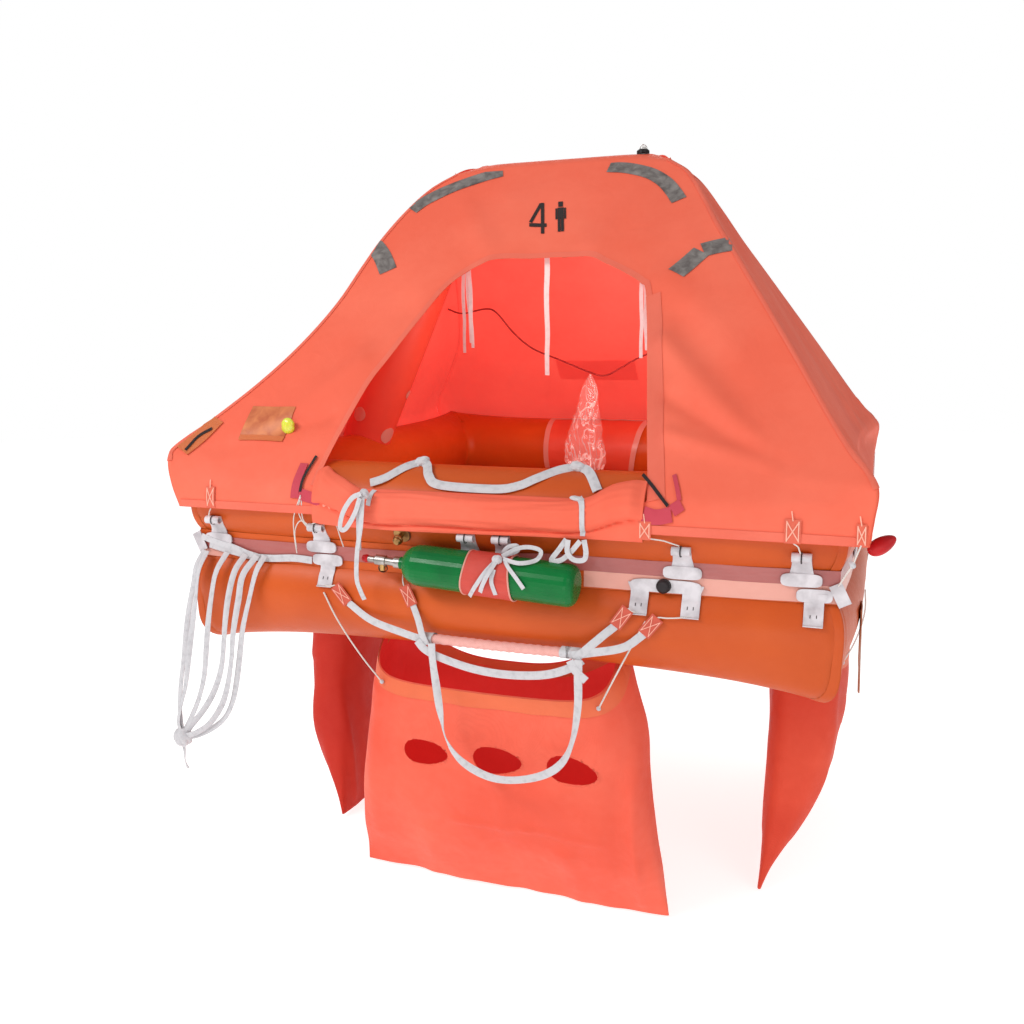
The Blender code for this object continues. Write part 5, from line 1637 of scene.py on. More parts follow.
def sleeve_place(s, t):
    turn = 2 * pi * t
    skew = 0.01 * sin(turn) * (1 - 2 * s) + 0.003 * sin(3 * turn + 4 * s)
    distance = SLEEVE[0] + (SLEEVE[1] - SLEEVE[0]) * s + skew * (1 - abs(2 * s - 1) * 0.5)
    ripple = 0.0012 * abs(noise_at(distance * 40, turn * 2.0, 5.0))
    return round_bottle(distance, turn, 0.001 + ripple)


def off_bottle(p):
    away = p - START
    return away - AXIS * away.dot(AXIS)


sleeve_cloth = cloth_finish("sleeve_cloth", (206, 72, 58), (184, 54, 44), crinkle=1.2, weave=0.12,
    depth=0.004, roughness=(0.5, 0.7))
sleeve_parts = [grid("sleeve", 26, 96, sleeve_place, (0.122, 0.34), sleeve_cloth, 0.0018, off_bottle)]
for edge in (0.0, 1.0):
    def piping_place(s, t, edge=edge):
        turn = 2 * pi * t
        base = sleeve_place(edge, t)
        out = (FLAT * cos(turn) + HIGH * sin(turn))
        around = 2 * pi * s
        return base + (out * cos(around) + AXIS * sin(around)) * 0.0024 + out * 0.0014
    sleeve_parts.append(grid("piping", 8, 96, piping_place, (0.015, 0.34), band_pink, outward=off_bottle))
settle(joined("cylinder_sleeve_cloth", sleeve_parts), "bag_cloth", "cylinder_sleeve")

FRONT_TURN = 0.0 if FLAT.y < 0 else pi
BOW_SPOT = round_bottle(0.276, FRONT_TURN + (0.95 if FRONT_TURN == 0.0 else -0.95), 0.008)
knot("cylinder_bow_knot", BOW_SPOT, (0.012, 0.01, 0.011), 0.2)


def before_bottle(x, z):
    """A point just in front of the cylinder, at a place and a height."""
    share = (x - START.x) / (END.x - START.x)
    middle = START.z - SEAM + (END.z - START.z) * share
    rise = max(-1.0, min(1.0, (z - middle) / (BOTTLE_R + 0.006)))
    return placed(x, BOTTLE_Y - (BOTTLE_R + 0.007) * sqrt(1 - rise * rise) - 0.001, z)


BOTTLE_TAPES = milli((("cylinder_bow_loop", ((95, 46), (128, 64), (162, 70), (190, 62), (182, 42), (146, 36),
    (103, 42)), "object", -10), ("cylinder_bow_loop_2", ((90, 50), (104, 66), (126, 70), (128, 58),
    (98, 46)), "object", -4), ("cylinder_tail_1", ((100, 42), (118, 26), (142, 4), (163, -22)), "bare", 0),
    ("cylinder_tail_2", ((90, 44), (66, 14), (38, -26), (10, -60)), "bare", -3),
    ("cylinder_tail_3", ((88, 40), (74, 10), (60, -18), (50, -40)), "bare", -6),
    ("cylinder_tail_4", ((84, 18), (80, -10), (86, -46)), "bare", 1)))
for name, points, far_end, away in BOTTLE_TAPES:
    line = [before_bottle(x, z) + Vector((0, away, 0)) for x, z in points]
    tie_down(webbing(name, line, 0.0105, white_web, steps=10, thickness=0.0013, columns=4), far_end, "limp",
        free=far_end == "bare")

# Brown rubber seat of the inflation valve, its hand wheel, and the ring on the valve's body.
valve_base = on_upper(-0.205, radians(-24) * TUBE_R, 0.0)
valve_out = (valve_base - at_side(0, valve_base.x / LINE, 0.0, TUBE_Z)).normalized()
brown_rubber = cloth_finish("brown_rubber", (104, 58, 34), (78, 40, 26), crinkle=0.4, weave=0.0, depth=0.002,
    roughness=(0.35, 0.5))


def turned_piece(name, profile, base, direction, skin, around=40):
    """A turned piece: its profile rows are (radius, distance along the axis)."""
    turn = Vector(direction).to_track_quat("Z", "Y")
    rows = [(r, h, 0.0) for r, h in profile]
    route = smooth_route(rows, 2)

    def at(s, t):
        point, _ = on_route(route, t)
        return Vector(base) + turn @ Vector((point.x * cos(2 * pi * s), point.x * sin(2 * pi * s), point.y))

    return grid(name, around, 2 * len(route), at, (0.1, 0.05), skin, outward=lambda p: p - Vector(base))


head_spot = START + AXIS * -0.052
TURNED = (("valve_seat", milli(((23.5, 0), (24.5, 1.6), (22.5, 3.4), (12, 5))), valve_base, valve_out,
    brown_rubber), ("valve_wheel", milli(((11.5, 24), (13.5, 26), (13, 30), (11.5, 33))), valve_base,
    valve_out, brass), ("valve_ring", milli(((10.5, -4), (12.5, -2), (12.5, 2), (10.5, 4))), head_spot
    + Vector((0.0, 0.0, -0.02)), (0.25, -0.9, -0.2), brown_rubber), ("valve_stub",
    milli(((6, -18), (7.5, -14), (7.5, 10), (6, 14))), head_spot + Vector((0.0, -0.002, -0.012)),
    (0.0, 0.0, -1.0), brass))
for row in TURNED:
    settle(turned_piece(*row), "brass")

clear_plastic, tree, shader = finish("clear_plastic", (236, 232, 230), 0.12, Transmission_Weight=0.85,
    IOR=1.4, Coat_Weight=0.3)
veil = node(tree, "TexNoise", Vector=coordinates(tree), Scale=120.0)
rough = node(tree, "MapRange", Value=veil, To_Min=0.06, To_Max=0.22)
feed(tree, shader, Roughness=rough)
dress("lamp_dome", clear_plastic)

float_low, float_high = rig.box("corner_float")
float_middle = (float_low + float_high) / 2
corner_float = fresh("corner_float_body", "uv_sphere", segments=56, ring_count=36, radius=1.0)
for vertex in corner_float.data.vertices:
    x, y, z = vertex.co
    taper = 1 - 0.16 * x
    long, flat, thick = x * 0.034, y * 0.019 * taper, z * 0.019 * taper
    tilt = radians(35)
    vertex.co = float_middle + Vector((long * cos(tilt) - thick * sin(tilt), flat, long * sin(tilt)
        + thick * cos(tilt)))
corner_float.data.materials.append(red_plastic)
bpy.ops.object.shade_smooth()
settle(corner_float, "red_plastic", "corner_float")

TONGUE_ROWS = milli(((-100, 50), (-180, 50), (-260, 48), (-305, 40), (-325, 18)))
tongue_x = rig.box("towing_tongue")[0].x


def tongue_place(s, t):
    z = TONGUE_ROWS[0][0] + (TONGUE_ROWS[-1][0] - TONGUE_ROWS[0][0]) * t
    half = curve_at([(-a, b) for a, b in TONGUE_ROWS], -z)[0]
    curl = 0.004 * t * t + 0.0015 * sin(9 * t + 4 * s)
    return placed(tongue_x + curl, -0.61 + half * (2 * s - 1), z)


tongue_cloth = cloth_finish("tongue_cloth", (172, 98, 50), (146, 74, 36), weave=0.2, depth=0.002,
    roughness=(0.4, 0.6))
settle(grid("tongue_webbing", 14, 40, tongue_place, (0.1, 0.23), tongue_cloth, 0.003, (1, 0, 0)),
    "brown_cloth", "towing_tongue")


# Boarding ladder.
# A rung of rolled webbing hangs on four white straps with sewn cloth ends, a sling lies
# under it, and a long white loop hangs below as the second step.

RUNG_Y, RUNG_Z, RUNG_R = -0.935, -0.195, 0.0125
RUNG_ENDS = (-0.141, 0.283)


def layer(n):
    return RUNG_Y - RUNG_R - 0.0024 - n * 0.0032


def on_lower(x, z):
    u = tube_radius(False, x / (LINE + 0.12), 0.0) + 0.0022
    return placed(x, -(LINE + u), z)


def rung_place(s, t):
    x = RUNG_ENDS[0] + (RUNG_ENDS[1] - RUNG_ENDS[0]) * t
    end = sqrt(max(0.0, 1 - max(0.0, abs(2 * t - 1) - 0.955) ** 2 / 0.045 ** 2))
    groove = 0.0007 * sin(2 * pi * (t * 19 + s)) + 0.0006 * noise_at(t * 20, s * 4, 0.0)
    r = (RUNG_R + groove) * (0.15 + 0.85 * end)
    droop = -0.0025 * sin(pi * t)
    return placed(x, RUNG_Y + r * cos(2 * pi * s), RUNG_Z + droop + r * sin(2 * pi * s))


rung_web = webbing_finish("rung_webbing", (228, 168, 160), (206, 138, 128), 70.0)
settle(grid("rung_roll", 28, 120, rung_place, (0.08, 0.42), rung_web, outward=lambda p: p
    - placed(p.x, RUNG_Y, RUNG_Z)), "band_webbing", "ladder_rung")
wraps = []
for middle, half, skew in milli(((-126, 16, 500), (262, 20, -600), (246, 12, 400))):
    def wrap_place(s, t, middle=middle, half=half, skew=skew):
        turn = 2 * pi * t
        r = RUNG_R + 0.0022 + 0.0006 * sin(5 * turn)
        x = middle + half * (2 * s - 1) + 0.01 * skew * cos(turn)
        return placed(x, RUNG_Y + r * cos(turn), RUNG_Z + r * sin(turn))
    wraps.append(grid("rung_wrap", 8, 44, wrap_place, (2 * half, 0.09), white_web, outward=lambda p: p
        - placed(p.x, RUNG_Y, RUNG_Z)))
settle(joined("rung_wraps", wraps), "white_webbing")

red_patch = sewn_finish("red_strap_end", (208, 88, 66), (186, 66, 50))


def strap_end(name, top, foot, half, away):
    """The sewn cloth end of a strap: a folded patch with a cross of stitches."""
    top, foot = on_lower(*top) + Vector((0, -away, 0)), on_lower(*foot) + Vector((0, -away, 0))
    along = (foot - top).normalized()
    side = along.cross(Vector((0, -1, 0))).normalized()

    def flat_place(a, b, lift):
        return top + along * b + side * a + Vector((0, -lift - 0.0014 * cos(70 * a), 0))

    long = (foot - top).length
    pieces = [strip(name, ((0.0, 0.0), (0.0, long / 2), (0.0, long)), 2 * half, flat_place, red_patch, 0.0,
        0.0026, columns=8)]
    for sign in (-1, 1):
        pieces.append(strip("stitch", ((-sign * half * 0.7, 0.006), (sign * half * 0.7, long - 0.006)),
            0.0018, flat_place, thread_pale, 0.0032, 0.0006, columns=2, steps=6))
        pieces.append(strip("stitch", ((sign * half * 0.72, 0.004), (sign * half * 0.72, long - 0.004)),
            0.0016, flat_place, thread_pale, 0.0032, 0.0006, columns=2, steps=6))
    return settle(joined(name, pieces), "bag_cloth")


# Each strap: name, its end patch, where it leaves the tube, where it meets the rung, layer.
STRAPS = (("left", (-0.402, -0.078), (-0.364, -0.122), (-0.29, -0.16), (-0.128, -0.198), 0),
    ("inner", (-0.196, -0.062), (-0.172, -0.112), (-0.152, -0.145), (-0.126, -0.208), 1),
    ("right", (0.47, -0.088), (0.436, -0.132), (0.39, -0.166), (0.262, -0.196), 0),
    ("outer", (0.398, -0.072), (0.366, -0.118), (0.335, -0.145), (0.272, -0.204), 1))
for name, high, low, between, foot, n in STRAPS:
    end = strap_end("strap_end_" + name, high, low, 0.016, 0.003)
    start = on_lower(*low)
    line = [start + Vector((0, -0.0022, 0)), placed(between[0], (start.y + layer(n)) / 2 - 0.004,
        between[1]), placed(foot[0] - 0.4 * (foot[0] - between[0]), layer(n) - 0.002, foot[1]
        + 0.4 * (between[1] - foot[1])), placed(foot[0], layer(n), foot[1])]
    wide = 0.018 if name == "inner" else 0.02
    tie_down(webbing("strap_" + name, line, wide, white_web, steps=8, cup=0.002), "object", lay="taut",
        with_pieces=[end], node="ladder_strap_" + name, free=True)
    knot_top = on_lower(high[0], high[1]) + Vector((0, -0.004, 0))
    tee_z = -0.082
    tee_x = {"left": -0.44, "inner": -0.205, "right": 0.543, "outer": 0.419}[name]
    tee_foot = placed(tee_x, -(LINE + patch_out(tee_x, -0.078) + 0.004), tee_z)
    if name == "inner":
        tee_foot = on_lower(tee_x, -0.036) + Vector((0, 0.01, 0))
    thin_cord("strap_cord_" + name, [tee_foot, tee_foot.lerp(knot_top, 0.35) + Vector((0, -0.004, -0.001)),
        tee_foot.lerp(knot_top, 0.7) + Vector((0, -0.003, -0.001)), knot_top, knot_top
        + (on_lower(*low) - knot_top) * 0.25], 0.0018, lay="taut")

tie_down(webbing("rung_sling", [placed(x, layer(2) - 0.001, z) for x, z in milli(
    ((-150, -198), (-128, -220), (-80, -238), (0, -256), (80, -262), (160, -257), (215, -246), (262, -226),
    (292, -203)))], 0.021, white_web, steps=7, cup=0.002), "object", node="ladder_sling")
LOOP = milli(((-108, -200), (-104, -240), (-100, -300), (-88, -380), (-72, -445), (-44, -497), (5, -528),
    (70, -540), (140, -533), (205, -507), (250, -462), (272, -400), (282, -320), (284, -250), (284, -202)))
tie_down(webbing("rung_loop", [placed(x, layer(3) - 0.002 - 0.004 * sin(2 * k), z)
    for k, (x, z) in enumerate(LOOP)], 0.02, white_web, steps=8, cup=0.002,
    twist=((0.0, 0.0), (0.1, 5.0), (0.18, -20.0), (0.27, 58.0), (0.34, 25.0), (0.42, -12.0), (0.55, 6.0),
    (0.66, -10.0), (0.76, -48.0), (0.84, -15.0), (0.92, 8.0), (1.0, 0.0))), "object", node="ladder_loop")
tie_down(webbing("rung_tail", [placed(0.262, layer(2) - 0.006, -0.206),
    placed(0.276, layer(2) - 0.01, -0.228), placed(0.304, layer(2) - 0.008, -0.252)], 0.02, white_web,
    steps=10), "bare", "limp")


# Water bags.
# Three open bags of thin cloth hang from the lower tube, at the front and at both sides.
# They have an orange hem, three oval holes in the outer wall, and a cord at each end.

BAG_REACH, BAG_DEPTH = 0.672, 0.215
BAG_TOP_HALF, BAG_LOW_HALF = 0.335, 0.466
BAG_BOTTOM, BAG_RIM, BAG_LIFT = -1.0, -0.335, 0.164
BAG_ROWS = milli(((0, 1000), (150, 1000), (350, 970), (550, 840), (750, 550), (900, 270), (1000, 110)))
HOLES = milli(((-168, -536, 0), (37, -529, 0), (227, -531, -160)))
HOLE_HALF = (0.065, 0.037)


def rim_round():
    """Places round a bag, evenly spaced: along it from -1 to 1, and out from 0 to 1."""
    fine = []
    for wall in (1, -1):
        for k in range(400):
            a = sin(-pi / 2 + pi * k / 400) * wall
            c = abs(a) ** (1 / 0.35)
            s = sqrt(max(0.0, 1 - c * c))
            fine.append((a, 0.5 + 0.5 * s ** 0.6 * wall))
    reach = [0.0]
    for (a, b), (c, d) in zip(fine, fine[1:] + fine[:1]):
        reach.append(reach[-1] + hypot((c - a) * 0.4, (d - b) * 0.2))
    even, k = [], 0
    for n in range(BAG_COLUMNS):
        goal = reach[-1] * n / BAG_COLUMNS
        while reach[k + 1] < goal:
            k += 1
        even.append(fine[k % len(fine)])
    return even


BAG_COLUMNS, BAG_LEVELS = 264, 92
BAG_ROUND = rim_round()


def under_tube(reach):
    """Height just under the lower tube, or under the floor inside it."""
    u = min(0.0, reach - LINE)
    if u < FLOOR_HALF - LINE:
        return FLOOR_Z - 0.006
    return -TUBE_Z - sqrt((TUBE_R + 0.0012) ** 2 - u * u) - 0.0035


# Creases of the front wall: two ends along and down the bag, width, height.
BAG_FOLDS = milli(((400, 160, 395, 950, 14, 14), (355, 300, 350, 980, 30, -8), (-110, 620, 100, 600, 20, 6),
    (100, 600, 300, 620, 18, 5), (50, 400, 30, 620, 22, 5), (-330, 100, -380, 800, 24, 6),
    (-200, 700, -240, 1000, 30, 7), (20, 720, 40, 1000, 34, -6), (200, 720, 220, 1000, 30, 8),
    (-100, 50, -140, 260, 30, -6), (140, 50, 110, 260, 30, 6)))


def bag_at(side, a, o, share, lift=0.0):
    """A point of a bag's skin: a along, o out, and share of the way down to its foot."""
    turn = OUT[side]
    down = ALONG[side]
    half = BAG_TOP_HALF + (BAG_LOW_HALF - BAG_TOP_HALF) * share ** (0.55 if side == 0 and a > 0 else 1)
    depth = BAG_DEPTH * curve_at(BAG_ROWS, share)[0]
    rim = BAG_RIM + (1 - o) * (0.01 + BAG_LIFT * abs(a) ** 3)
    top = min(rim, under_tube(BAG_REACH + BAG_DEPTH * o))
    sag = 0.01 * (1 - share) * (1 - a * a) * (o > 0.5)
    wave = 0.01 * noise_at(a * 2.4, side * 3.0, 1.0) * share
    z = top + (BAG_BOTTOM - top) * share - sag + wave * min(1.0, share * 1.2)
    along = half * a
    out = depth * o
    face = eased(0.55, 0.95, o) - eased(0.45, 0.05, o)
    folds = fold_height(along, share, BAG_FOLDS if side == 0 else BAG_FOLDS[:6])
    folds += 0.01 * noise_at(along * 4.5, share * 2.2, 11.0 + side)
    folds += 0.004 * noise_at(along * 12, share * 7.0, 5.0 + side)
    held = eased(0.0, 0.12, share)
    out += face * (lift + folds * held * (1 if o > 0.5 else 0.6))
    ends = eased(0.93, 1.0, abs(a))
    along += (lift + 0.5 * folds * held) * ends * (1 if a > 0 else -1)
    reach = BAG_REACH + out
    return placed(turn[0] * reach + down[0] * along, turn[1] * reach + down[1] * along, z)


# The bags' inner face is a deep red copy of their cloth that glows: painted light inside the bags.
bag_inside = cloth_finish("bag_inside", (216, 48, 42), (190, 32, 32), crinkle=1.2, weave=0.06, smudge=0.8,
    depth=0.005, roughness=(0.55, 0.75), Emission_Color=paint(206, 46, 42), Emission_Strength=0.34)
# The side bags take darker, redder copies of the front bag's cloth: painted shade, deepest on the left bag.
BAG_SKINS = {side: cloth_finish(name, colour, worn, crinkle=1.2, weave=0.06, thread=300.0, smudge=smudge,
    depth=0.005, roughness=(0.5, 0.72), gloss=gloss) for side, name, colour, worn, smudge, gloss in (
    (0, "bag_cloth", (236, 104, 80), (222, 78, 54), 0.8, 0.3), (1, "bag_cloth_right", (228, 84, 58),
    (206, 60, 38), 0.9, 0.25), (3, "bag_cloth_left", (202, 54, 36), (180, 38, 28), 0.8, 0.2))}
hem_cloth = cloth_finish("bag_hem", (228, 106, 62), (208, 82, 44), crinkle=1.0, weave=0.08, depth=0.003,
    roughness=(0.45, 0.6))
for side, label in ((0, "front"), (1, "right"), (3, "left")):
    def bag_place(s, t, side=side):
        a, o = BAG_ROUND[int(round(s * BAG_COLUMNS)) % BAG_COLUMNS]
        return bag_at(side, a, o, t)

    bag = grid("bag_" + label, BAG_COLUMNS, BAG_LEVELS, bag_place, (1.95, 0.7), BAG_SKINS[side])
    work = bmesh.new()
    work.from_mesh(bag.data)
    work.verts.ensure_lookup_table()
    doomed = []
    row = BAG_COLUMNS + 1
    for vertex in work.verts:
        a, o = BAG_ROUND[(vertex.index % row) % BAG_COLUMNS]
        share = (vertex.index // row) / BAG_LEVELS
        if o < 0.6:
            continue
        half = BAG_TOP_HALF + (BAG_LOW_HALF - BAG_TOP_HALF) * share
        for along, z, tilt in HOLES:
            da, dz = half * a - along, vertex.co.z - SEAM - z
            da, dz = da * cos(tilt) + dz * sin(tilt), dz * cos(tilt) - da * sin(tilt)
            dz *= 1 + 0.25 * (da / HOLE_HALF[0])
            far = hypot(da / HOLE_HALF[0], dz / HOLE_HALF[1])
            if far < 0.86:
                doomed.append(vertex)
            elif far < 1.14:
                grow = 1 / far - 1
                da, dz = da * grow, dz * grow
                vertex.co += Vector((ALONG[side][0] * da, ALONG[side][1] * da, dz))
    bmesh.ops.delete(work, geom=doomed, context="VERTS")
    bmesh.ops.remove_doubles(work, verts=work.verts, dist=0.0003)
    foot = [e for e in work.edges if e.is_boundary and e.verts[0].co.z < SEAM - 0.9]
    bmesh.ops.holes_fill(work, edges=foot, sides=0)
    bmesh.ops.recalc_face_normals(work, faces=work.faces)
    outer = max(work.faces, key=lambda f: f.calc_center_median().dot(Vector((*OUT[side], 0))))
    if outer.normal.dot(Vector((*OUT[side], 0))) < 0:
        bmesh.ops.reverse_faces(work, faces=work.faces)
    work.to_mesh(bag.data)
    work.free()
    two_faced(bag, 0.0018, bag_inside, -1.0)
    bpy.ops.object.shade_smooth()

    def hem_place(s, t, side=side):
        a, o = BAG_ROUND[int(round(s * BAG_COLUMNS)) % BAG_COLUMNS]
        wave = 0.005 * noise_at(a * 3.5, o * 2.0, 8.0)
        share = (0.004 + (0.06 + wave) * t)
        return bag_at(side, a, o, share, 0.0022 * (1 if o > 0.4 else -1) + 0.001 * sin(pi * t))

    hem = grid("bag_hem_" + label, BAG_COLUMNS, 8, hem_place, (1.5, 0.035), hem_cloth,
        outward=(*OUT[side], 0))
    thicken(hem, 0.0012, 0.0)
    settle(bag, "bag_cloth", "ballast_bag_" + label)
    settle(hem, "bag_cloth")
    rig.sheet(bag, flat=(1.95, 0.72), held="hung", rests_on=["lower_tube"], area=1.25, with_pieces=[hem])

for side, label in ((0, "front"), (1, "right"), (3, "left")):
    for n, sign in enumerate((-1, 1)):
        out = Vector((*OUT[side], 0.0))
        low = bag_at(side, sign * 0.88, 0.93, 0.035, 0.006)
        high_along = sign * (BAG_TOP_HALF + 0.105)
        p = high_along / (LINE + 0.12)
        start = at_side(side, p, tube_radius(False, p, 0.1) + 0.004, -0.1)
        middle = start.lerp(low, 0.5) + out * 0.018
        thin_cord("bag_line_%s_%d" % (label, n + 1), [start, start.lerp(middle, 0.5) + out * 0.006, middle,
            middle.lerp(low, 0.5) + out * 0.004, low], 0.0022, lay="taut",
            nodes=["bag_cord_%s_%d" % (label, n + 1)])
        knot("bag_line_knot", low, (0.0052, 0.005, 0.0056), 0.3 * sign)


# Bundle of white webbing.
# The raft's boarding and towing webbing hangs in six loops from the band at the left and
# is gathered in one knot with a short tail.

KNOT = placed(-0.905, -0.965, -0.56)
knot_lump = knot("bundle_knot", KNOT, (0.026, 0.019, 0.027), 0.5, ["webbing_knot"])


def over_band(x, z=-0.02, away=0.0085):
    p = x / (LINE + 0.1)
    return placed(x, -(LINE + band_out(p) + BAND_FRONT + away), z)


# Each strand: where it lies on the band, how far off it, its points, and how it leans.
STRANDS = ((-0.64, 0.0085, milli(((-652, -928, -60), (-670, -938, -130), (-690, -950, -221),
    (-700, -957, -300), (-712, -960, -371), (-728, -961, -430), (-756, -962, -482), (-800, -963, -520),
    (-850, -964, -546), (-884, -965, -556))), 18), (-0.704, 0.0085, milli(
    ((-722, -925, -60), (-737, -937, -120), (-745, -949, -190), (-749, -958, -258), (-756, -962, -320),
    (-770, -965, -372), (-796, -966, -425), (-832, -966, -475), (-872, -966, -520), (-889, -965, -542))),
    -14), (-0.85, 0.0085, milli(((-858, -918, -60), (-866, -926, -110), (-872, -939, -165),
    (-877, -950, -220), (-883, -956, -275), (-890, -960, -330), (-902, -963, -400), (-910, -964, -470),
    (-908, -965, -534))), 10), (-0.664, 0.012, milli(((-690, -936, -70), (-702, -946, -140),
    (-716, -958, -230), (-722, -966, -310), (-738, -970, -390), (-760, -972, -446), (-800, -973, -500),
    (-846, -973, -534), (-886, -972, -552))), -20), (-0.77, 0.0085, milli(
    ((-786, -926, -70), (-798, -938, -140), (-806, -950, -220), (-812, -958, -300), (-820, -963, -370),
    (-842, -966, -440), (-872, -967, -500), (-896, -966, -540))), 12), (-0.838, 0.014,
    milli(((-842, -930, -70), (-848, -944, -150), (-858, -956, -240), (-868, -965, -320), (-880, -970, -400),
    (-898, -972, -460), (-912, -972, -510), (-908, -971, -540))), 24))
for n, (start, away, points, lean) in enumerate(STRANDS):
    line = [over_band(start, away=away)] + [placed(*p) for p in points]
    tie_down(webbing("strand_%d" % (n + 1), line, 0.0165, white_web, steps=6, cup=0.0015,
        twist=((0.0, 0.0), (0.2, lean), (0.45, -0.7 * lean), (0.7, 1.3 * lean), (0.88, lean),
        (1.0, 0.5 * lean))), "knot", with_pieces=[knot_lump], node="webbing_strand_%d" % (n + 1) if n < 3
        else None)
tail_line = [KNOT + Vector((0.0, 0.0, -0.024)), KNOT + Vector((0.002, 0.0, -0.045)), KNOT
    + Vector((0.003, -0.002, -0.066)), KNOT + Vector((0.008, -0.002, -0.084)), KNOT
    + Vector((0.011, 0.0, -0.094))]
tie_down(webbing("bundle_tail", tail_line, 0.0115, white_web, steps=5, twist=((0.0, 0.0), (0.5, 40.0),
    (1.0, 10.0)), columns=4), "bare", "limp", node="webbing_tail")

# White webbing laid along the band at the left, and the wraps at the two front corners.
laid = strip("band_laid_web", milli(((-835, -2), (-790, -10), (-740, -18), (-680, -26), (-620, -26),
    (-550, -20), (-490, -22))), 0.02, over_band, white_web, 0.0016, 0.0018)
laid_2 = strip("band_laid_web_2", milli(((-860, 20), (-800, 4), (-750, -4), (-700, -18), (-660, -26))),
    0.018, over_band, white_web, 0.004, 0.0018)
settle(joined("laid_webbing", [laid, laid_2]), "white_webbing")
corner_wraps = []
for x, z0, z1 in milli(((-868, 30, -20), (876, 12, -36))):
    corner_wraps.append(strip("corner_wrap", ((x - 0.012, z0), (x, (z0 + z1) / 2), (x + 0.012, z1)), 0.03,
        over_band, patch_rubber, 0.003, 0.0024))
settle(joined("corner_wraps", corner_wraps), "patch_cloth")


# Inside the canopy.
# White tapes hang from the top of the entrance. A thin dark red cord is slung from wall to
# wall with a crinkled clear bag on it, and a pouch with pink borders lies on the back tube.

INNER_TAPES = milli((("inner_left", ((-272, 815, 530), (-252, 812, 545), (-262, 810, 560)), 12),
    ("inner_middle", ((-8, 830, 462),), 17), ("inner_right", ((286, 800, 513), (296, 792, 535)), 12)))
# The inner tapes are white webbing, painted pink and brighter: painted red light inside the canopy.
inner_web_painted_pink_light = webbing_finish("inner_webbing", (250, 224, 220), (228, 188, 184))
for name, tapes_in, width in INNER_TAPES:
    made = []
    for k, (x, top, bottom) in enumerate(tapes_in):
        y = front_y(x, top) + 0.005 + 0.003 * k
        line = [placed(x + 0.0015 * sin(2.0 * n + 3 * k) + 0.006 * k * (n / 6), y + 0.006 * (n / 6)
            - 0.002 * sin(pi * n / 6), top + (bottom - top) * n / 6) for n in range(7)]
        made.append(webbing("%s_%d" % (name, k + 1), line, width, inner_web_painted_pink_light, steps=6, thickness=0.0013,
            columns=4, twist=((0.0, 0.0), (0.5, 14.0 * (-1) ** k), (1.0, 24.0))))
    for k, tape in enumerate(made):
        tie_down(tape, "bare", "limp", node=name.replace("_", "_tape_") if k == 0 else None)

SLING_Y = 0.35
sling_low, sling_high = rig.box("inner_cord")
SLING = ((sling_low.x + 0.018, 0.69), (-0.566, 0.673), (-0.471, 0.688), (-0.426, 0.672), (-0.358, 0.597),
    (-0.282, 0.539), (-0.175, 0.497), (-0.06, 0.452), (-0.004, 0.441), (0.054, 0.469), (0.123, 0.506),
    (0.26, 0.56), (0.4, 0.61), (sling_high.x - 0.018, 0.64))
cord_red = cord_finish("cord_dark_red", (172, 44, 42), (128, 28, 28), 140.0)
thin_cord("slung_cord", [placed(x, SLING_Y, z) for x, z in SLING], 0.003, nodes=["inner_cord"],
    skin=cord_red, slot="red_plastic")

CLEAR_BAG = ((0.4469, -0.06, 0.004, 0.004), (0.4, -0.062, 0.03, 0.012), (0.33, -0.068, 0.042, 0.022),
    (0.24, -0.078, 0.066, 0.03), (0.15, -0.08, 0.084, 0.03), (0.095, -0.08, 0.07, 0.016))


def clear_place(s, t):
    z = CLEAR_BAG[0][0] + (CLEAR_BAG[-1][0] - CLEAR_BAG[0][0]) * t
    middle, half, deep = curve_at([(-a, b, c, d) for a, b, c, d in CLEAR_BAG], -z)
    turn = 2 * pi * s
    crumple = 0.16 * noise_at(cos(turn) * 2.2, sin(turn) * 2.2, z * 22)
    crumple += 0.1 * noise_at(cos(turn) * 6, sin(turn) * 6, z * 50)
    grow = 1 + crumple * min(1.0, t * 4) * 0.8 - 0.08
    return placed(middle + half * cos(turn) * grow, SLING_Y + deep * sin(turn) * grow, z)


# The film's pink tint is painted red light from the canopy.
film, tree, shader = finish("clear_film", (250, 214, 206), 0.1, Alpha=0.34, gloss=0.8, Coat_Weight=0.5)
place = coordinates(tree)
upright = node(tree, "Mapping", Vector=place, Scale=(1.0, 1.0, 0.45))
creased = node(tree, "TexNoise", Vector=upright, Scale=13.0, Detail=1.0, Distortion=2.0)
centred = node(tree, "Math", {"operation": "SUBTRACT"}, _0=creased, _1=0.5)
ridge = node(tree, "Math", {"operation": "ABSOLUTE"}, _0=centred)
# Paler, more opaque lines along the creases are painted highlight streaks.
thick = node(tree, "MapRange", Value=ridge, From_Max=0.03, To_Min=0.6, To_Max=0.12)
bump = node(tree, "Bump", Height=creased, Strength=0.8, Distance=0.02)
feed(tree, shader, Alpha=thick, Normal=bump)
settle(grid("clear_bag_film", 90, 120, clear_place, (0.4, 0.36), film,
    outward=lambda p: Vector((0, p.y - SLING_Y, 0))), "clear_plastic", "clear_bag")

POUCH_X, POUCH_TURN = (-0.35, 0.07), (95, 215)


def on_pouch(a, b, lift):
    """A point of the pouch: a from 0 to 1 across, b from 0 at its top to 1 at its foot."""
    turn = radians(POUCH_TURN[0] + (POUCH_TURN[1] - POUCH_TURN[0]) * b)
    x = POUCH_X[0] + (POUCH_X[1] - POUCH_X[0]) * a * (1 - 0.12 * b)
    puff = 0.006 * sin(pi * min(1.0, max(0.0, a))) ** 0.5 * sin(pi * min(1.0, max(0.0, b))) ** 0.5
    ripple = 0.0015 * noise_at(a * 9, b * 7, 6.0)
    r = tube_radius(True, x / LINE, turn) + 0.0012 + lift + puff + ripple
    return placed(x, LINE + r * cos(turn), TUBE_Z + r * sin(turn))


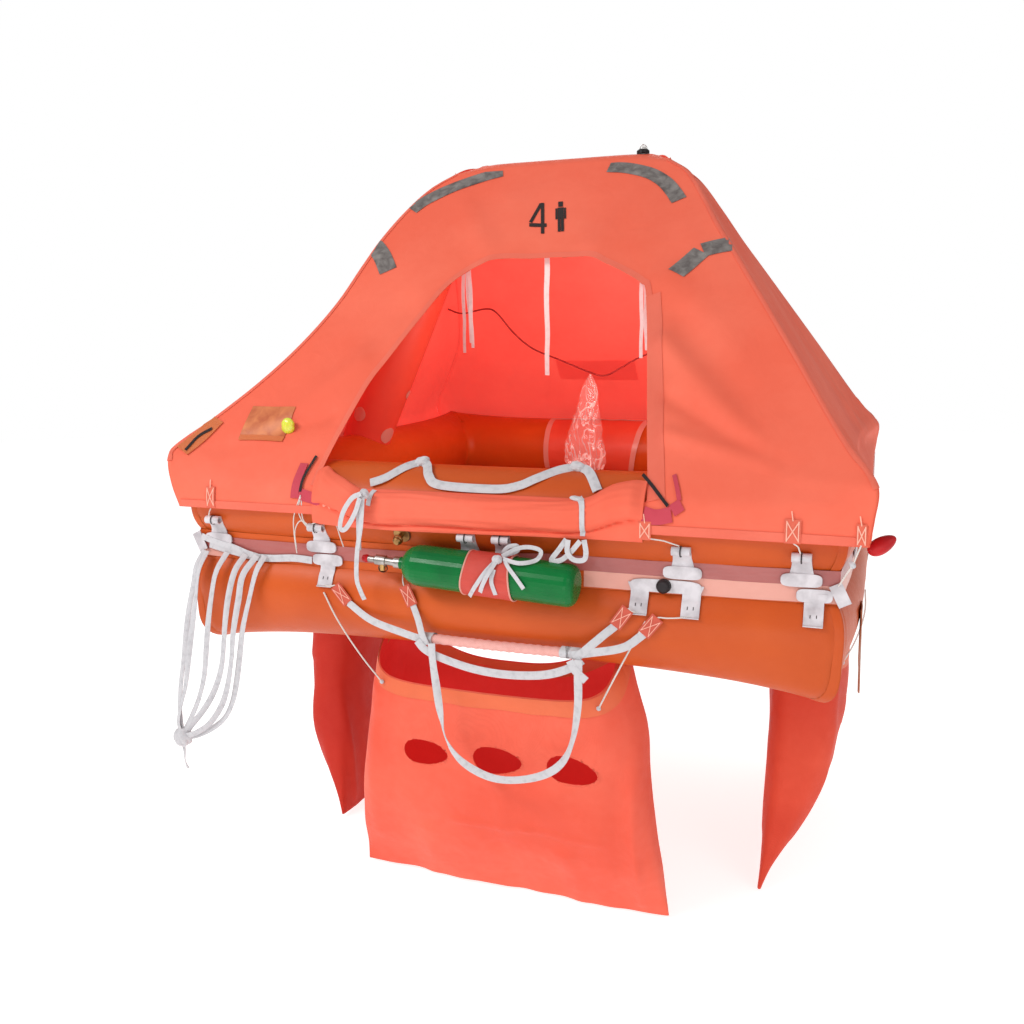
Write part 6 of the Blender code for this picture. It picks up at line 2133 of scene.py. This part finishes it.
pouch_cloth = cloth_finish("pouch_cloth", (230, 92, 64), (212, 72, 50), crinkle=1.2, weave=0.1, depth=0.003,
    roughness=(0.4, 0.6))
pouch = grid("pouch_panel", 60, 44, lambda s, t: on_pouch(s, t, 0.0), (0.4, 0.25), pouch_cloth, 0.0022,
    (0, -1, 0.3))
BORDERS = milli(((((20, 0), (20, 500), (20, 1000)), 55, 3), (((980, 0), (980, 500), (980, 1000)), 55, 3),
    (((0, 40), (500, 40), (1000, 40)), 70, 3.6)))
borders = [strip("border", centre, width, on_pouch, band_pink, lift, 0.0012, columns=4, steps=10)
    for centre, width, lift in BORDERS]
pouch_border = joined("pouch_borders", borders)
settle(pouch, "bag_cloth", "stowage_pouch")
settle(pouch_border, "bag_cloth")
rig.sheet(pouch, flat=(0.41, 0.26), held="stretched", rests_on=["upper_tube"], with_pieces=[pouch_border])


# A red panel sewn to the back's inner face, and round patches on the arch's left leg.
def on_back_inside(x, z, lift):
    return front_at(x, z, -lift, True)


# The panel glows: painted light, like the canopy's inner face.
panel_cloth = cloth_finish("panel_cloth", (230, 84, 74), (212, 68, 60), crinkle=1.0, weave=0.1, depth=0.002,
    roughness=(0.55, 0.7), Emission_Color=paint(224, 66, 58), Emission_Strength=0.3)
settle(strip("back_panel", milli(((-285, 455), (-120, 455), (40, 455))), 0.077, on_back_inside, panel_cloth,
    0.001, 0.001, columns=10), "canopy_cloth")


LEG = hypot(ARCH_LEAN - ARCH_SHOULDER + LINE, 0.82 - 0.21)


def on_arch_skin(a, b, lift):
    """A point of the arch's skin: metres round it and metres up its left leg."""
    return on_arch(a / (2 * pi * ARCH_R), b / LEG * 8 / (len(ARCH_ROUTE) - 1), lift)


discs = []
for round_arch, up, half in milli(((790, 160, 26), (540, 100, 30), (480, 340, 16))):
    a, b = round_arch * 2 * pi * ARCH_R, up * LEG
    discs.append(strip("arch_disc", ((a, b - half), (a, b), (a, b + half)), 2 * half, on_arch_skin,
        band_pink, 0.0012, 0.001, columns=10, steps=8, outward=(0.5, -1, 0),
        taper=lambda t: sqrt(max(0.02, 1 - (2 * t - 1) ** 2))))
settle(joined("arch_discs", discs), "band_webbing")


# The size before and after, and the end.

new_low, new_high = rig.bounds()
with open("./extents.json", "w") as sizes:
    json.dump({"cad": [list(cad_low), list(cad_high)], "visual": [list(new_low), list(new_high)]}, sizes)
